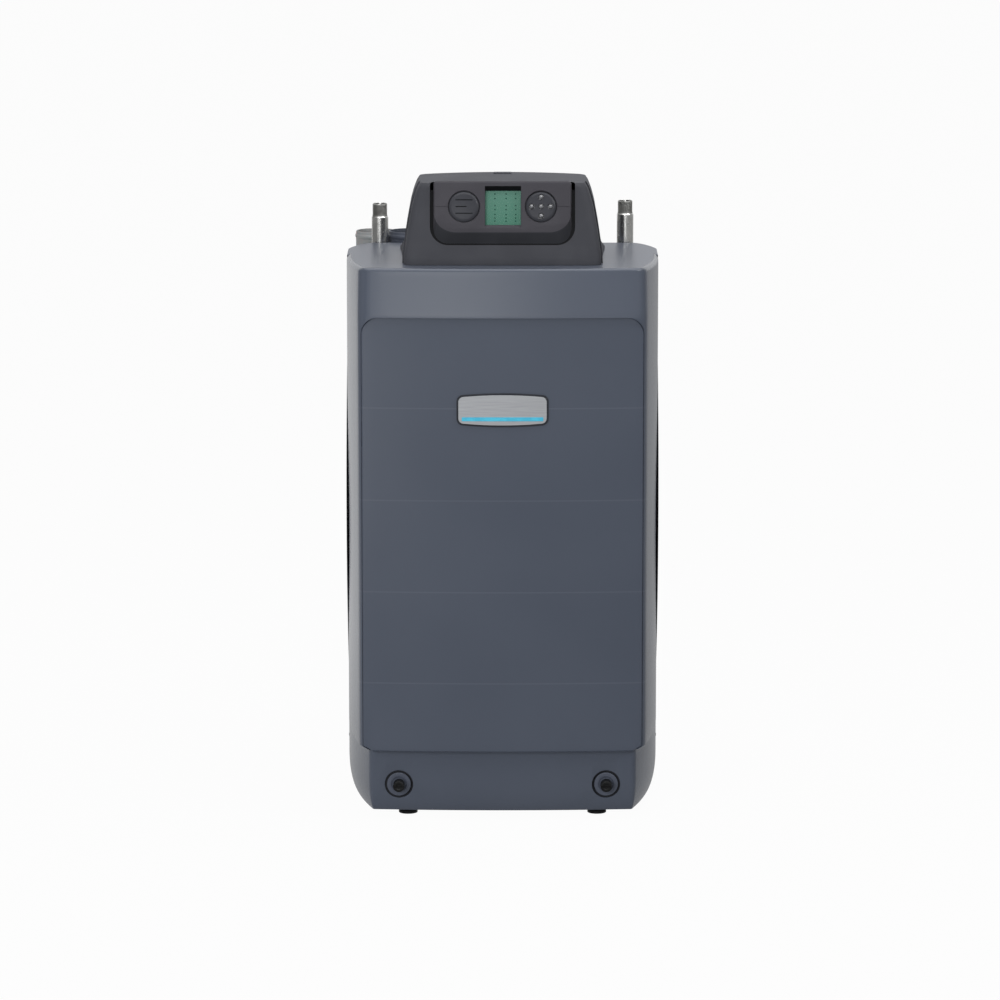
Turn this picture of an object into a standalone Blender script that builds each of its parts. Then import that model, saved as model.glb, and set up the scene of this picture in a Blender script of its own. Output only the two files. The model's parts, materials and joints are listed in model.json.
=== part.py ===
# A floor-standing condensing boiler, built as separate named pieces.
# Units are metres. The front faces -Y, +Z is up and the floor is z = 0.

import math

import bmesh
import bpy
from mathutils import Matrix, Vector

# Whole cabinet
HALF_DEPTH = 0.2370
HALF_WIDTH = 0.2485
TOP_Z = 0.8780
SHEET = 0.0015
GAP = 0.0003
SHUT_GAP = 0.0015
SEAM = 0.0006
OVERRUN = 0.0100
MERGE = 0.00001

# Front cover: one moulded shell, open at the back
COVER_WALL = 0.0028
COVER_BOTTOM = 0.0140
COVER_WING_SHARE = 0.118
COVER_MIN_CORNER = 0.0030
FRONT_BOW = 0.0100
BROW_DROP = 0.0755
BROW_UNDERCUT = 0.0030
BROW_SIDE_INSET = 0.0295
BROW_CORNER = 0.0180
TOP_SETBACK = 0.0150
TOP_SIDE_INSET = 0.0315
TOP_EDGE_RADIUS = 0.0060
TOP_FLANGE = 0.0060
SHELL_SETBACK = 0.0180
SHELL_SIDE_INSET = 0.0395
SHELL_CORNER = 0.0080
SWEEP_HEIGHT = 0.0500
SWEEP_RISE = 0.0470
SWEEP_INSET = 0.0140
SCALLOP_LOW = 0.1900
SCALLOP_DROP = 0.1580
SCALLOP_DEPTH = 0.1000
SCALLOP_POWER = 0.75

# Front panel: a shallow tray that wraps the cover's front
PANEL_WALL = 0.0025
PANEL_SETBACK = 0.0050
PANEL_RETURN = 0.0310
PANEL_BOTTOM = 0.1140
PANEL_TOP_GAP = 0.0040
PANEL_TOP_RADIUS = 0.0340
PANEL_EDGE_RADIUS = 0.0040
LIP_RISE = 0.0070
LIP_INSET = 0.0130

# Badge
BADGE_DROP = 0.2200
BADGE_HALF_WIDTH = 0.0715
BADGE_HALF_HEIGHT = 0.0230
BADGE_ARCH = 0.0035
BADGE_CORNER = 0.0090
BADGE_PLATE = 0.0022
STRIPE_HALF_WIDTH = 0.0635
STRIPE_HALF_HEIGHT = 0.0031
STRIPE_DROP = 0.0140
STRIPE_THICKNESS = 0.0006
STRIPE_CORNER = 0.0012

# Cover screws and the cups that they turn in
SCREW_INSET = 0.0849
SCREW_Z = 0.0574
CUP_HOLE_RADIUS = 0.0224
CUP_RADIUS = 0.0188
CUP_FLANGE_RADIUS = 0.0252
CUP_FLANGE_SETBACK = 0.0066
CUP_FLANGE = 0.0020
STUD_RADIUS = 0.0030
STUD_CLEARANCE = 0.0006
STUD_LENGTH = 0.0340
KNOB_RADIUS = 0.0090
KNOB_LENGTH = 0.0180
KNOB_STANDOFF = 0.0012
KNOB_CHAMFER = 0.0015
KNOB_SLOT = 0.0020
KNOB_SLOT_DEPTH = 0.0025

# Cabinet sheets
SIDE_BOTTOM = 0.0620
SHELF_DEPTH = 0.1240
SHELF_DROP = 0.0285
TRAY_FLOOR = 0.0200
TRAY_TUCK = 0.0025
TRAY_KNEE = 0.0580
TRAY_TOP = 0.0760
TRAY_FRONT_INSET = 0.0470
TRAY_JOGGLE = 0.0060
RAIL_SETBACK = 0.0020
RAIL_INSET = 0.0755
RAIL_HEIGHT = 0.0620

# Grips let into the side panels
GRIP_INSET = 0.1370
GRIP_DROP = 0.3110
GRIP_LENGTH = 0.1200
GRIP_HEIGHT = 0.0340
GRIP_FLANGE = 0.0022
GRIP_TUB_LENGTH = 0.1040
GRIP_TUB_HEIGHT = 0.0250
GRIP_TUB_DEPTH = 0.0280
GRIP_WALL = 0.0020

# Levelling feet
FOOT_SIDE_INSET = 0.0985
FOOT_FRONT_INSET = 0.0770
FOOT_REAR_INSET = 0.0470
FOOT_PAD_RADIUS = 0.0150
FOOT_PAD = 0.0080
FOOT_PAD_CHAMFER = 0.0015
FOOT_NUT_RADIUS = 0.0090
FOOT_STEM_RADIUS = 0.0050
FOOT_STEM_TOP = 0.0420

# Control pod on the top panel
POD_FRONT_INSET = 0.0560
POD_REAR_INSET = 0.0600
POD_HEIGHT = 0.1250
POD_LEAN_RUN = 0.0260
POD_LEAN_RISE = 0.1180
POD_REAR_RUN = 0.0630
POD_TOP_ROUND = 0.0080
POD_FRONT_DEPTH = 0.0300
POD_WIDTH_SHARE = 0.62
POD_STEP = 0.0026
POD_SKIRT = 0.0080
POD_SKIRT_HEIGHT = 0.0160
POD_CORNER = 0.0160
POD_WALL = 0.0024
POD_FOOT = 0.0035
POD_HEIGHT_SHARES = (0.00, 0.13, 0.40, 0.68, 0.84, 0.94, 1.00)
POD_WIDTH_SHARES = (1.00, 0.995, 0.965, 0.925, 0.892, 0.873, 0.830)
TAB_HALF_WIDTH = 0.0140
TAB_LENGTH = 0.0160
TAB_HEIGHT = 0.0024
TAB_INSET = 0.0120

# Display module in the pod's front; its flange sits behind the pod's wall
MODULE_WIDTH_SHARE = 0.698
MODULE_HALF_HEIGHT = 0.0490
MODULE_RISE = 0.0812
MODULE_PROUD = 0.0060
MODULE_DEPTH = 0.0270
MODULE_WALL = 0.0056
MODULE_SIDE = 0.0030
MODULE_GAP = 0.0045
MODULE_TOP_RADIUS = 0.0060
MODULE_BOTTOM_RADIUS = 0.0230
MODULE_CHIN = 0.0170
MODULE_CHIN_SLOPE = 0.0048
MODULE_EDGE = 0.0012
MODULE_FLANGE = 0.0040
MODULE_FLANGE_DROP = 0.0140
LCD_RISE = 0.0105
LCD_X = 0.0008
LCD_HALF_WIDTH = 0.0296
LCD_HALF_HEIGHT = 0.0320
LCD_BORDER = 0.0030
LCD_GLASS = 0.0015
LCD_DEPTH = 0.0080
BOARD = 0.0016
BUTTON_X = 0.0600
BUTTON_RISE = 0.0100
BUTTON_RADIUS = 0.0240
BUTTON_CLEARANCE = 0.0003
BUTTON_FLANGE = 0.0020
BUTTON_FLANGE_DEPTH = 0.0015
BUTTON_PROUD = 0.0012
NAV_PITCH = 0.0147
NAV_RADIUS = 0.0035
NAV_PROUD = 0.0018
NAV_FLANGE = 0.0012
NAV_BACK = 0.0030

# Water, gas and air connections on the rear shelf
PIPE_SIDE_INSET = 0.0505
PIPE_REAR_INSET = 0.1060
PIPE_RADIUS = 0.01335
PIPE_BORE = 0.0105
SUPPLY_RISE = 0.0617
RETURN_RISE = 0.0665
NIPPLE_DROP = 0.0500
NIPPLE_CHAMFER = 0.0012
GROMMET_RADIUS = 0.0166
GROMMET = 0.0030
VENT_SIDE_INSET = 0.0428
VENT_REAR_INSET = 0.0395
VENT_RISE = 0.0096
AIR_SIDE_INSET = 0.0970
AIR_REAR_INSET = 0.0790
AIR_RISE = 0.0143
COLLAR_RADIUS = 0.0330
COLLAR_BORE = 0.0302
COLLAR_STOP = 0.0160
COLLAR_STOP_BORE = 0.0270
COLLAR_HOLE = 0.0250
GAS_SHARE = 0.531
GAS_REAR_INSET = 0.0570
GAS_RADIUS = 0.01065
GAS_BORE = 0.0080
GAS_RISE = 0.0270
GLAND_SHARE = 0.2415
GLAND_RADIUS = 0.0110
GLAND_BORE = 0.0045
GLAND_NUT = 0.0090
GLAND_CAP = 0.0080

# Heat exchanger and what it stands on
HX_WIDTH_SHARE = 0.604
HX_FRONT_INSET = 0.1170
HX_REAR_INSET = 0.1470
HX_BOTTOM = 0.2300
HX_DROP = 0.2380
HX_WALL = 0.0060
HX_RIB = 0.0050
HX_RIB_WIDTH = 0.0080
HX_RIBS = 5
PLATE = 0.0080
PLATE_OVERHANG = 0.0050
SUMP_HEIGHT = 0.0800
SUMP_WALL = 0.0040
STAND_INSET = 0.0200
PORT_INSET = 0.0450
SUPPLY_PORT_DROP = 0.0800
RETURN_PORT_RISE = 0.0700
PIPE_BEND = 0.0200
FLUE_RADIUS = 0.0270
FLUE_BEND = 0.0360
FLUE_PORT_INSET = 0.0500
FLUE_PORT_RISE = 0.0400

# Blower, gas valve, igniter and condensate parts
BLOWER_X = 0.0150
BLOWER_INSET = 0.0850
BLOWER_RISE = 0.1017
BLOWER_SHARE = 0.566
BLOWER_DEPTH = 0.0750
BLOWER_WALL = 0.0030
BLOWER_INLET = 0.0240
NECK_HALF_WIDTH = 0.0360
NECK_HALF_DEPTH = 0.0240
NECK_WALL = 0.0030
NECK_SINK = 0.0200
IMPELLER_CLEARANCE = 0.0150
IMPELLER_HUB = 0.0280
IMPELLER_WIDTH = 0.0480
IMPELLER_BLADES = 12
BLADE_SHARE = 0.22
SHAFT_RADIUS = 0.0040
SHAFT_CLEARANCE = 0.0010
SHAFT_IN_MOTOR = 0.0140
MOTOR_RADIUS = 0.0450
MOTOR_LENGTH = 0.0550
MOTOR_CHAMFER = 0.0060
DUCT_RADIUS = 0.0260
DUCT_BEND = 0.0350
DUCT_FRONT_INSET = 0.0970
DUCT_RISE = 0.0370
VALVE_HALF_WIDTH = 0.0200
VALVE_INSET = 0.0200
VALVE_LENGTH = 0.0700
VALVE_HEIGHT = 0.0860
VALVE_EDGE = 0.0030
GAS_RUN_RISE = 0.0500
GAS_BEND = 0.0250
IGNITER_SIDE_INSET = 0.0550
IGNITER_FRONT_INSET = 0.0600
IGNITER_FLANGE = 0.0110
IGNITER_RADIUS = 0.0055
IGNITER_TIP = 0.0015
IGNITER_LENGTH = 0.0400
TRAP_X = 0.0400
TRAP_REACH = 0.0350
TRAP_RADIUS = 0.0270
TRAP_DROP = 0.0197
TRAP_CHAMFER = 0.0060
CAP_HEIGHT = 0.0120
CAP_OVERHANG = 0.0015
HOSE_RADIUS = 0.0080
HOSE_BEND = 0.0140
HOSE_PORT_RISE = 0.0400
BOX_SIDE_INSET = 0.0540
BOX_FRONT_INSET = 0.0660
BOX_REAR_INSET = 0.0530
BOX_HEIGHT = 0.0550
BOX_BOARD_RISE = 0.0100

# Facets
SIDE_STEPS = 4
CORNER_STEPS = 3
FRONT_STEPS = 3
SCALLOP_RINGS = 10
SWEEP_RINGS = 4
EDGE_RINGS = 3
ROUND_STEPS = 24
SMALL_ROUND_STEPS = 12
ARC_STEPS = 5
BADGE_COLUMNS = 16
TUBE_RESOLUTION = 2

# Places worked out from the sizes above
BROW_Z = TOP_Z - BROW_DROP
BROW_HALF_WIDTH = HALF_WIDTH - BROW_SIDE_INSET
TOP_HALF_WIDTH = HALF_WIDTH - TOP_SIDE_INSET
SHELL_HALF_WIDTH = HALF_WIDTH - SHELL_SIDE_INSET
PANEL_HALF_WIDTH = BROW_HALF_WIDTH
COVER_WING_Y = HALF_DEPTH * COVER_WING_SHARE
SCALLOP_HIGH = TOP_Z - SCALLOP_DROP
BADGE_Z = TOP_Z - BADGE_DROP
SCREW_X = HALF_WIDTH - SCREW_INSET
BROW_Y = -HALF_DEPTH + FRONT_BOW
TOP_Y = BROW_Y + TOP_SETBACK
SHELL_Y = BROW_Y + SHELL_SETBACK
PANEL_Y = BROW_Y + PANEL_SETBACK
PANEL_TOP = BROW_Z - PANEL_TOP_GAP
SWEEP_TOP = COVER_BOTTOM + SWEEP_RISE
TRAY_REAR = HALF_DEPTH - SHEET - GAP
TRAY_FRONT = -HALF_DEPTH + TRAY_FRONT_INSET
TRAY_HALF_FLOOR = HALF_WIDTH - SWEEP_INSET - TRAY_TUCK
RAIL_HALF_WIDTH = HALF_WIDTH - RAIL_INSET
GRIP_Y = HALF_DEPTH - GRIP_INSET
GRIP_Z = TOP_Z - GRIP_DROP
FOOT_X = HALF_WIDTH - FOOT_SIDE_INSET
FOOT_FRONT_Y = -HALF_DEPTH + FOOT_FRONT_INSET
FOOT_REAR_Y = HALF_DEPTH - FOOT_REAR_INSET
SHELF_Y = HALF_DEPTH - SHELF_DEPTH
SHELF_Z = TOP_Z - SHELF_DROP
SHELF_UNDER = SHELF_Z - SHEET - GAP
PIPE_X = HALF_WIDTH - PIPE_SIDE_INSET
PIPE_Y = HALF_DEPTH - PIPE_REAR_INSET
SUPPLY_TOP = TOP_Z + SUPPLY_RISE
RETURN_TOP = TOP_Z + RETURN_RISE
VENT_X = -HALF_WIDTH + VENT_SIDE_INSET
VENT_Y = HALF_DEPTH - VENT_REAR_INSET
VENT_TOP = TOP_Z + VENT_RISE
AIR_X = -HALF_WIDTH + AIR_SIDE_INSET
AIR_Y = HALF_DEPTH - AIR_REAR_INSET
AIR_TOP = TOP_Z + AIR_RISE
GAS_X = HALF_WIDTH * GAS_SHARE
GAS_Y = HALF_DEPTH - GAS_REAR_INSET
GAS_TOP = TOP_Z + GAS_RISE
GLAND_X = HALF_WIDTH * GLAND_SHARE
GLAND_Y = GAS_Y
HX_HALF_WIDTH = HALF_WIDTH * HX_WIDTH_SHARE
HX_FRONT = -HALF_DEPTH + HX_FRONT_INSET
HX_REAR = HALF_DEPTH - HX_REAR_INSET
HX_TOP = TOP_Z - HX_DROP
PLATE_Z = HX_TOP + GAP
PLATE_TOP = PLATE_Z + PLATE
SUMP_BOTTOM = HX_BOTTOM - GAP - SUMP_HEIGHT
STAND_X = HX_HALF_WIDTH - STAND_INSET
PORT_X = HX_HALF_WIDTH - PORT_INSET
SUPPLY_PORT_Z = HX_TOP - SUPPLY_PORT_DROP
RETURN_PORT_Z = HX_BOTTOM + RETURN_PORT_RISE
FLUE_PORT_X = HX_HALF_WIDTH - FLUE_PORT_INSET
BLOWER_Y = HX_FRONT + BLOWER_INSET
BLOWER_Z = PLATE_TOP + BLOWER_RISE
BLOWER_RADIUS = HX_HALF_WIDTH * BLOWER_SHARE
IMPELLER_RADIUS = BLOWER_RADIUS - IMPELLER_CLEARANCE
DUCT_FRONT_Y = -HALF_DEPTH + DUCT_FRONT_INSET
DUCT_RUN_Z = BLOWER_Z + DUCT_RISE
VALVE_FRONT = HX_FRONT + VALVE_INSET
VALVE_REAR = VALVE_FRONT + VALVE_LENGTH
IGNITER_X = -HX_HALF_WIDTH + IGNITER_SIDE_INSET
IGNITER_Y = HX_FRONT + IGNITER_FRONT_INSET
TRAP_Y = HX_FRONT - TRAP_REACH
TRAP_TOP = SUMP_BOTTOM - TRAP_DROP
POD_BASE = TOP_Z + GAP
POD_FRONT_Y = -HALF_DEPTH + POD_FRONT_INSET
POD_REAR_Y = SHELF_Y - POD_REAR_INSET
POD_HALF_WIDTH = HALF_WIDTH * POD_WIDTH_SHARE
MODULE_HALF_WIDTH = POD_HALF_WIDTH * MODULE_WIDTH_SHARE
BOX_HALF_WIDTH = POD_HALF_WIDTH - BOX_SIDE_INSET
BOX_FRONT = POD_FRONT_Y + BOX_FRONT_INSET
BOX_REAR = POD_REAR_Y - BOX_REAR_INSET
POD_LEAN = math.atan2(POD_LEAN_RUN, POD_LEAN_RISE - POD_FOOT)
MODULE_INNER_Y = -MODULE_PROUD + MODULE_WALL


def clear_scene():
    for old in list(bpy.context.scene.objects):
        bpy.data.objects.remove(old, do_unlink=True)


def make_collection(name):
    collection = bpy.data.collections.new(name)
    bpy.context.scene.collection.children.link(collection)
    return collection


clear_scene()
PARTS = make_collection("boiler")
CUTTERS = make_collection("cutters")


def make_material(name, colour, roughness, metallic=0.0):
    material = bpy.data.materials.new(name)
    material.use_nodes = True
    shader = material.node_tree.nodes["Principled BSDF"]
    shader.inputs["Base Color"].default_value = (*colour, 1.0)
    shader.inputs["Roughness"].default_value = roughness
    shader.inputs["Metallic"].default_value = metallic
    return material


SLATE = (0.085, 0.093, 0.122)
CHARCOAL = (0.050, 0.052, 0.060)
BLACK = (0.012, 0.012, 0.014)
STEEL = (0.420, 0.420, 0.410)
CAST = (0.480, 0.480, 0.470)
ZINC = (0.550, 0.550, 0.540)
COPPER_RED = (0.520, 0.250, 0.140)
PALE = (0.420, 0.430, 0.440)
BOARD_GREEN = (0.020, 0.120, 0.050)
CYAN = (0.060, 0.600, 0.900)
LCD_GREEN = (0.110, 0.260, 0.200)
GLASS = (0.600, 0.700, 0.680)
CERAMIC = (0.800, 0.790, 0.750)


def link(obj, collection=PARTS):
    collection.objects.link(obj)
    return obj


def dress(obj, colour, roughness=0.5, metallic=0.0):
    obj.data.materials.append(make_material(obj.name, colour, roughness, metallic))
    return obj


def mesh_object(name, bm, location=(0, 0, 0), rotation=(0, 0, 0), collection=PARTS):
    mesh = bpy.data.meshes.new(name)
    bm.to_mesh(mesh)
    bm.free()
    obj = link(bpy.data.objects.new(name, mesh), collection)
    obj.location = location
    obj.rotation_euler = rotation
    return obj


def smooth(obj, angle=35):
    obj.data.shade_smooth()
    obj.data.set_sharp_from_angle(angle=math.radians(angle))
    return obj


def add_bevel(obj, width, segments=2):
    bevel = obj.modifiers.new("rounded_edges", "BEVEL")
    bevel.width = width
    bevel.segments = segments
    bevel.limit_method = "ANGLE"
    bevel.use_clamp_overlap = True
    return obj


def add_wall(obj, thickness):
    wall = obj.modifiers.new("wall", "SOLIDIFY")
    wall.thickness = thickness
    wall.offset = -1
    wall.use_even_offset = True
    return obj


def block(name, low, high, collection=PARTS, location=(0, 0, 0)):
    bm = bmesh.new()
    size = Vector(high) - Vector(low)
    middle = (Vector(high) + Vector(low)) / 2
    matrix = Matrix.Translation(middle) @ Matrix.Diagonal((*size, 1))
    bmesh.ops.create_cube(bm, size=1, matrix=matrix)
    return mesh_object(name, bm, location, collection=collection)


def rod(name, radius, start, end, collection=PARTS, steps=ROUND_STEPS):
    start, end = Vector(start), Vector(end)
    along = end - start
    bm = bmesh.new()
    turn = along.to_track_quat("Z", "Y").to_matrix().to_4x4()
    matrix = Matrix.Translation((start + end) / 2) @ turn
    bmesh.ops.create_cone(bm, cap_ends=True, segments=steps, radius1=radius,
                          radius2=radius, depth=along.length, matrix=matrix)
    return mesh_object(name, bm, collection=collection)


# A turned piece: its profile runs down the outer side at +X.
def turned(name, profile, location=(0, 0, 0), rotation=(0, 0, 0), ring=False, steps=ROUND_STEPS):
    bm = bmesh.new()
    points = [bm.verts.new((radius, 0, height)) for radius, height in profile]
    for first, second in zip(points, points[1:]):
        bm.edges.new((first, second))
    if ring:
        bm.edges.new((points[-1], points[0]))
    obj = mesh_object(name, bm, location, rotation)
    screw = obj.modifiers.new("turned", "SCREW")
    screw.angle = math.tau
    screw.steps = steps
    screw.render_steps = steps
    screw.use_merge_vertices = True
    screw.merge_threshold = MERGE
    screw.use_smooth_shade = True
    return obj


def flat_outline(name, outlines, thickness, location, rotation):
    curve = bpy.data.curves.new(name, "CURVE")
    curve.dimensions = "2D"
    curve.fill_mode = "BOTH"
    curve.extrude = thickness / 2
    for outline in outlines:
        spline = curve.splines.new("POLY")
        spline.points.add(len(outline) - 1)
        for point, (x, y) in zip(spline.points, outline):
            point.co = (x, y, 0, 1)
        spline.use_cyclic_u = True
    obj = link(bpy.data.objects.new(name, curve))
    obj.location = location
    obj.rotation_euler = rotation
    return obj


# A route with its inner corners rounded to one bend radius.
def rounded_route(corners, bend, steps=ARC_STEPS):
    corners = [Vector(corner) for corner in corners]
    route = [corners[0]]
    for before, corner, after in zip(corners, corners[1:], corners[2:]):
        back = (before - corner).normalized()
        ahead = (after - corner).normalized()
        half = back.angle(ahead) / 2
        reach = bend / math.tan(half)
        middle = corner + (back + ahead).normalized() * (bend / math.sin(half))
        start = corner + back * reach - middle
        end = corner + ahead * reach - middle
        for step in range(steps + 1):
            route.append(middle + start.slerp(end, step / steps).normalized() * bend)
    route.append(corners[-1])
    return route


def tube(name, corners, radius, bend):
    curve = bpy.data.curves.new(name, "CURVE")
    curve.dimensions = "3D"
    curve.bevel_depth = radius
    curve.bevel_resolution = TUBE_RESOLUTION
    curve.use_fill_caps = True
    spline = curve.splines.new("POLY")
    route = rounded_route(corners, bend)
    spline.points.add(len(route) - 1)
    for point, place in zip(spline.points, route):
        point.co = (*place, 1)
    return link(bpy.data.objects.new(name, curve))


# A loft through rings of equally many points. Rings climb, and each runs
# anticlockwise seen from outside its far end, so the faces point out.
def loft(name, rings, cap_first=False, cap_last=False, closed=False, collection=PARTS):
    bm = bmesh.new()
    rows = [[bm.verts.new(point) for point in ring] for ring in rings]
    for low, high in zip(rows, rows[1:]):
        for i in range(len(low) - 1):
            bm.faces.new((low[i], low[i + 1], high[i + 1], high[i]))
        if closed:
            bm.faces.new((low[-1], low[0], high[0], high[-1]))
    if cap_first:
        bm.faces.new(list(reversed(rows[0])))
    if cap_last:
        bm.faces.new(rows[-1])
    return mesh_object(name, bm, collection=collection)


def boolean(obj, other, operation="DIFFERENCE"):
    modifier = obj.modifiers.new(other.name, "BOOLEAN")
    modifier.object = other
    modifier.operation = operation
    modifier.solver = "EXACT"
    other.hide_render = True
    other.display_type = "WIRE"
    return obj


def bow_at(x):
    return FRONT_BOW * (1 - (x / BROW_HALF_WIDTH) ** 2)


# Half outline of a bowed, open-backed section, then its mirror image.
# The sides run from the open end, where they are widest, to rounded corners.
def open_section(half_open, half_closed, y_open, y_closed, y_edge, corner, bowed=1):
    run = y_open - y_closed
    toward = 1 if run > 0 else -1
    start = (y_open - y_edge) / run
    stop = 1 - corner / abs(run)
    half = []
    for i in range(SIDE_STEPS + 1):
        share = start + (stop - start) * i / SIDE_STEPS
        x = half_open - (half_open - half_closed) * share * share
        half.append(Vector((-x, y_open - run * share)))
    arc_x = half_closed - corner
    arc_start = half[-1]
    arc_end = Vector((-arc_x, y_closed - bowed * bow_at(arc_x)))
    tip = Vector((-half_closed, y_closed - bowed * bow_at(half_closed)))
    for i in range(1, CORNER_STEPS + 1):
        share = i / CORNER_STEPS
        first = arc_start.lerp(tip, share)
        second = tip.lerp(arc_end, share)
        half.append(first.lerp(second, share))
    for i in range(1, FRONT_STEPS + 1):
        x = arc_x * (i / FRONT_STEPS - 1)
        half.append(Vector((x, y_closed - bowed * bow_at(x))))
    other = [Vector((-point.x, point.y)) for point in reversed(half[:-1])]
    outline = half + other
    return outline if toward > 0 else list(reversed(outline))


def scallop_at(z):
    share = (z - SCALLOP_LOW) / (SCALLOP_HIGH - SCALLOP_LOW)
    if share <= 0 or share >= 1:
        return 0
    return SCALLOP_DEPTH * math.sin(math.pi * share) ** SCALLOP_POWER


def scallop_heights():
    step = (SCALLOP_HIGH - SCALLOP_LOW) / (SCALLOP_RINGS - 1)
    return [SCALLOP_LOW + step * i for i in range(SCALLOP_RINGS)]


def cover_ring(z, half_closed, y_closed, corner, inset=0):
    outline = open_section(HALF_WIDTH - inset, half_closed - inset, COVER_WING_Y,
                           y_closed + inset, COVER_WING_Y - scallop_at(z),
                           max(corner - inset, COVER_MIN_CORNER))
    return [Vector((point.x, point.y, z)) for point in outline]


def sweep_inset(z):
    share = min((SWEEP_TOP - z) / SWEEP_HEIGHT, 1)
    return SWEEP_INSET * (1 - math.sqrt(1 - share * share))


def front_cover():
    rings = []
    for i in range(SWEEP_RINGS + 1):
        z = COVER_BOTTOM + (SWEEP_TOP - COVER_BOTTOM) * i / SWEEP_RINGS
        rings.append(cover_ring(z, SHELL_HALF_WIDTH, SHELL_Y, SHELL_CORNER, sweep_inset(z)))
    for z in scallop_heights() + [BROW_Z - BROW_UNDERCUT]:
        rings.append(cover_ring(z, SHELL_HALF_WIDTH, SHELL_Y, SHELL_CORNER))
    rings.append(cover_ring(BROW_Z, BROW_HALF_WIDTH, BROW_Y, BROW_CORNER))
    for i in range(EDGE_RINGS + 1):
        turn = math.pi / 2 * i / EDGE_RINGS
        z = TOP_Z - TOP_EDGE_RADIUS * (1 - math.sin(turn))
        inset = TOP_EDGE_RADIUS * (1 - math.cos(turn))
        rings.append(cover_ring(z, TOP_HALF_WIDTH, TOP_Y, BROW_CORNER, inset))
    rings.append(cover_ring(TOP_Z, TOP_HALF_WIDTH, TOP_Y, BROW_CORNER,
                            TOP_EDGE_RADIUS + TOP_FLANGE))
    cover = smooth(loft("front_cover", rings))
    add_wall(cover, COVER_WALL)
    for side, sign in (("left", -1), ("right", 1)):
        y = cup_face_y()
        hole = rod("cup_hole_" + side, CUP_HOLE_RADIUS, (sign * SCREW_X, y - OVERRUN, SCREW_Z),
                   (sign * SCREW_X, y + OVERRUN, SCREW_Z), CUTTERS)
        boolean(cover, hole)
    dress(cover, SLATE, 0.42)


def front_panel():
    def ring(z, half):
        outline = open_section(half, half, PANEL_Y + PANEL_RETURN, PANEL_Y,
                               PANEL_Y + PANEL_RETURN, PANEL_EDGE_RADIUS)
        return [Vector((point.x, point.y, z)) for point in outline]

    rings = [ring(PANEL_BOTTOM, PANEL_HALF_WIDTH - LIP_INSET)]
    rings.append(ring(PANEL_BOTTOM + LIP_RISE, PANEL_HALF_WIDTH))
    for i in range(ARC_STEPS + 1):
        turn = math.pi / 2 * i / ARC_STEPS
        z = PANEL_TOP - PANEL_TOP_RADIUS * (1 - math.sin(turn))
        rings.append(ring(z, PANEL_HALF_WIDTH - PANEL_TOP_RADIUS * (1 - math.cos(turn))))
    panel = smooth(loft("front_panel", rings, cap_first=True, cap_last=True))
    add_wall(panel, PANEL_WALL)
    boolean(panel, shell_core())
    dress(panel, SLATE, 0.40)


# The space that the cover's shell takes behind the front panel, with a gap.
def shell_core():
    rings = []
    for z in (PANEL_BOTTOM - OVERRUN, PANEL_TOP + OVERRUN):
        outline = open_section(HALF_WIDTH + GAP, SHELL_HALF_WIDTH + GAP, COVER_WING_Y,
                               SHELL_Y - GAP, COVER_WING_Y, SHELL_CORNER)
        rings.append([Vector((point.x, point.y, z)) for point in outline])
    return loft("shell_core", rings, True, True, True, CUTTERS)


# A thin bowed plate with arched long edges and rounded ends.
def arched_plate(name, half_width, half_height, arch, corner, back_y, thickness, z):
    rows = []
    for i in range(BADGE_COLUMNS + 1):
        turn = math.pi * (i / BADGE_COLUMNS - 0.5)
        x = half_width * math.sin(turn)
        share = x / half_width
        into = max(abs(x) - (half_width - corner), 0)
        drop = corner - math.sqrt(max(corner * corner - into * into, 0))
        height = half_height + arch * (1 - share * share) - drop
        y = back_y - bow_at(x) + bow_at(0) - thickness
        rows.append([Vector((x, y, z - height)), Vector((x, y, z + height))])
    plate = loft(name, [[row[0] for row in rows], [row[1] for row in rows]])
    return add_wall(plate, thickness)


def badge():
    plate_y = PANEL_Y - FRONT_BOW - GAP
    stripe_y = plate_y - BADGE_PLATE - GAP
    plate = arched_plate("badge_plate", BADGE_HALF_WIDTH, BADGE_HALF_HEIGHT, BADGE_ARCH,
                         BADGE_CORNER, plate_y, BADGE_PLATE, BADGE_Z)
    dress(plate, PALE, 0.35, 0.6)
    stripe = arched_plate("badge_stripe", STRIPE_HALF_WIDTH, STRIPE_HALF_HEIGHT, 0,
                          STRIPE_CORNER, stripe_y, STRIPE_THICKNESS, BADGE_Z - STRIPE_DROP)
    dress(stripe, CYAN, 0.4)


def cup_face_y():
    return SHELL_Y - bow_at(SCREW_X)


# The cups and screws are turned about local Z, which points out along -Y.
def screw_cups():
    bore = STUD_RADIUS + STUD_CLEARANCE
    back = -CUP_FLANGE_SETBACK
    profile = [(CUP_RADIUS, 0), (CUP_RADIUS, back), (CUP_FLANGE_RADIUS, back),
               (CUP_FLANGE_RADIUS, back - CUP_FLANGE), (bore, back - CUP_FLANGE), (bore, 0)]
    for side, sign in (("left", -1), ("right", 1)):
        place = (sign * SCREW_X, cup_face_y(), SCREW_Z)
        cup = turned("screw_cup_" + side, profile, place, (math.pi / 2, 0, 0), ring=True)
        dress(cup, SLATE, 0.45)


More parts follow.
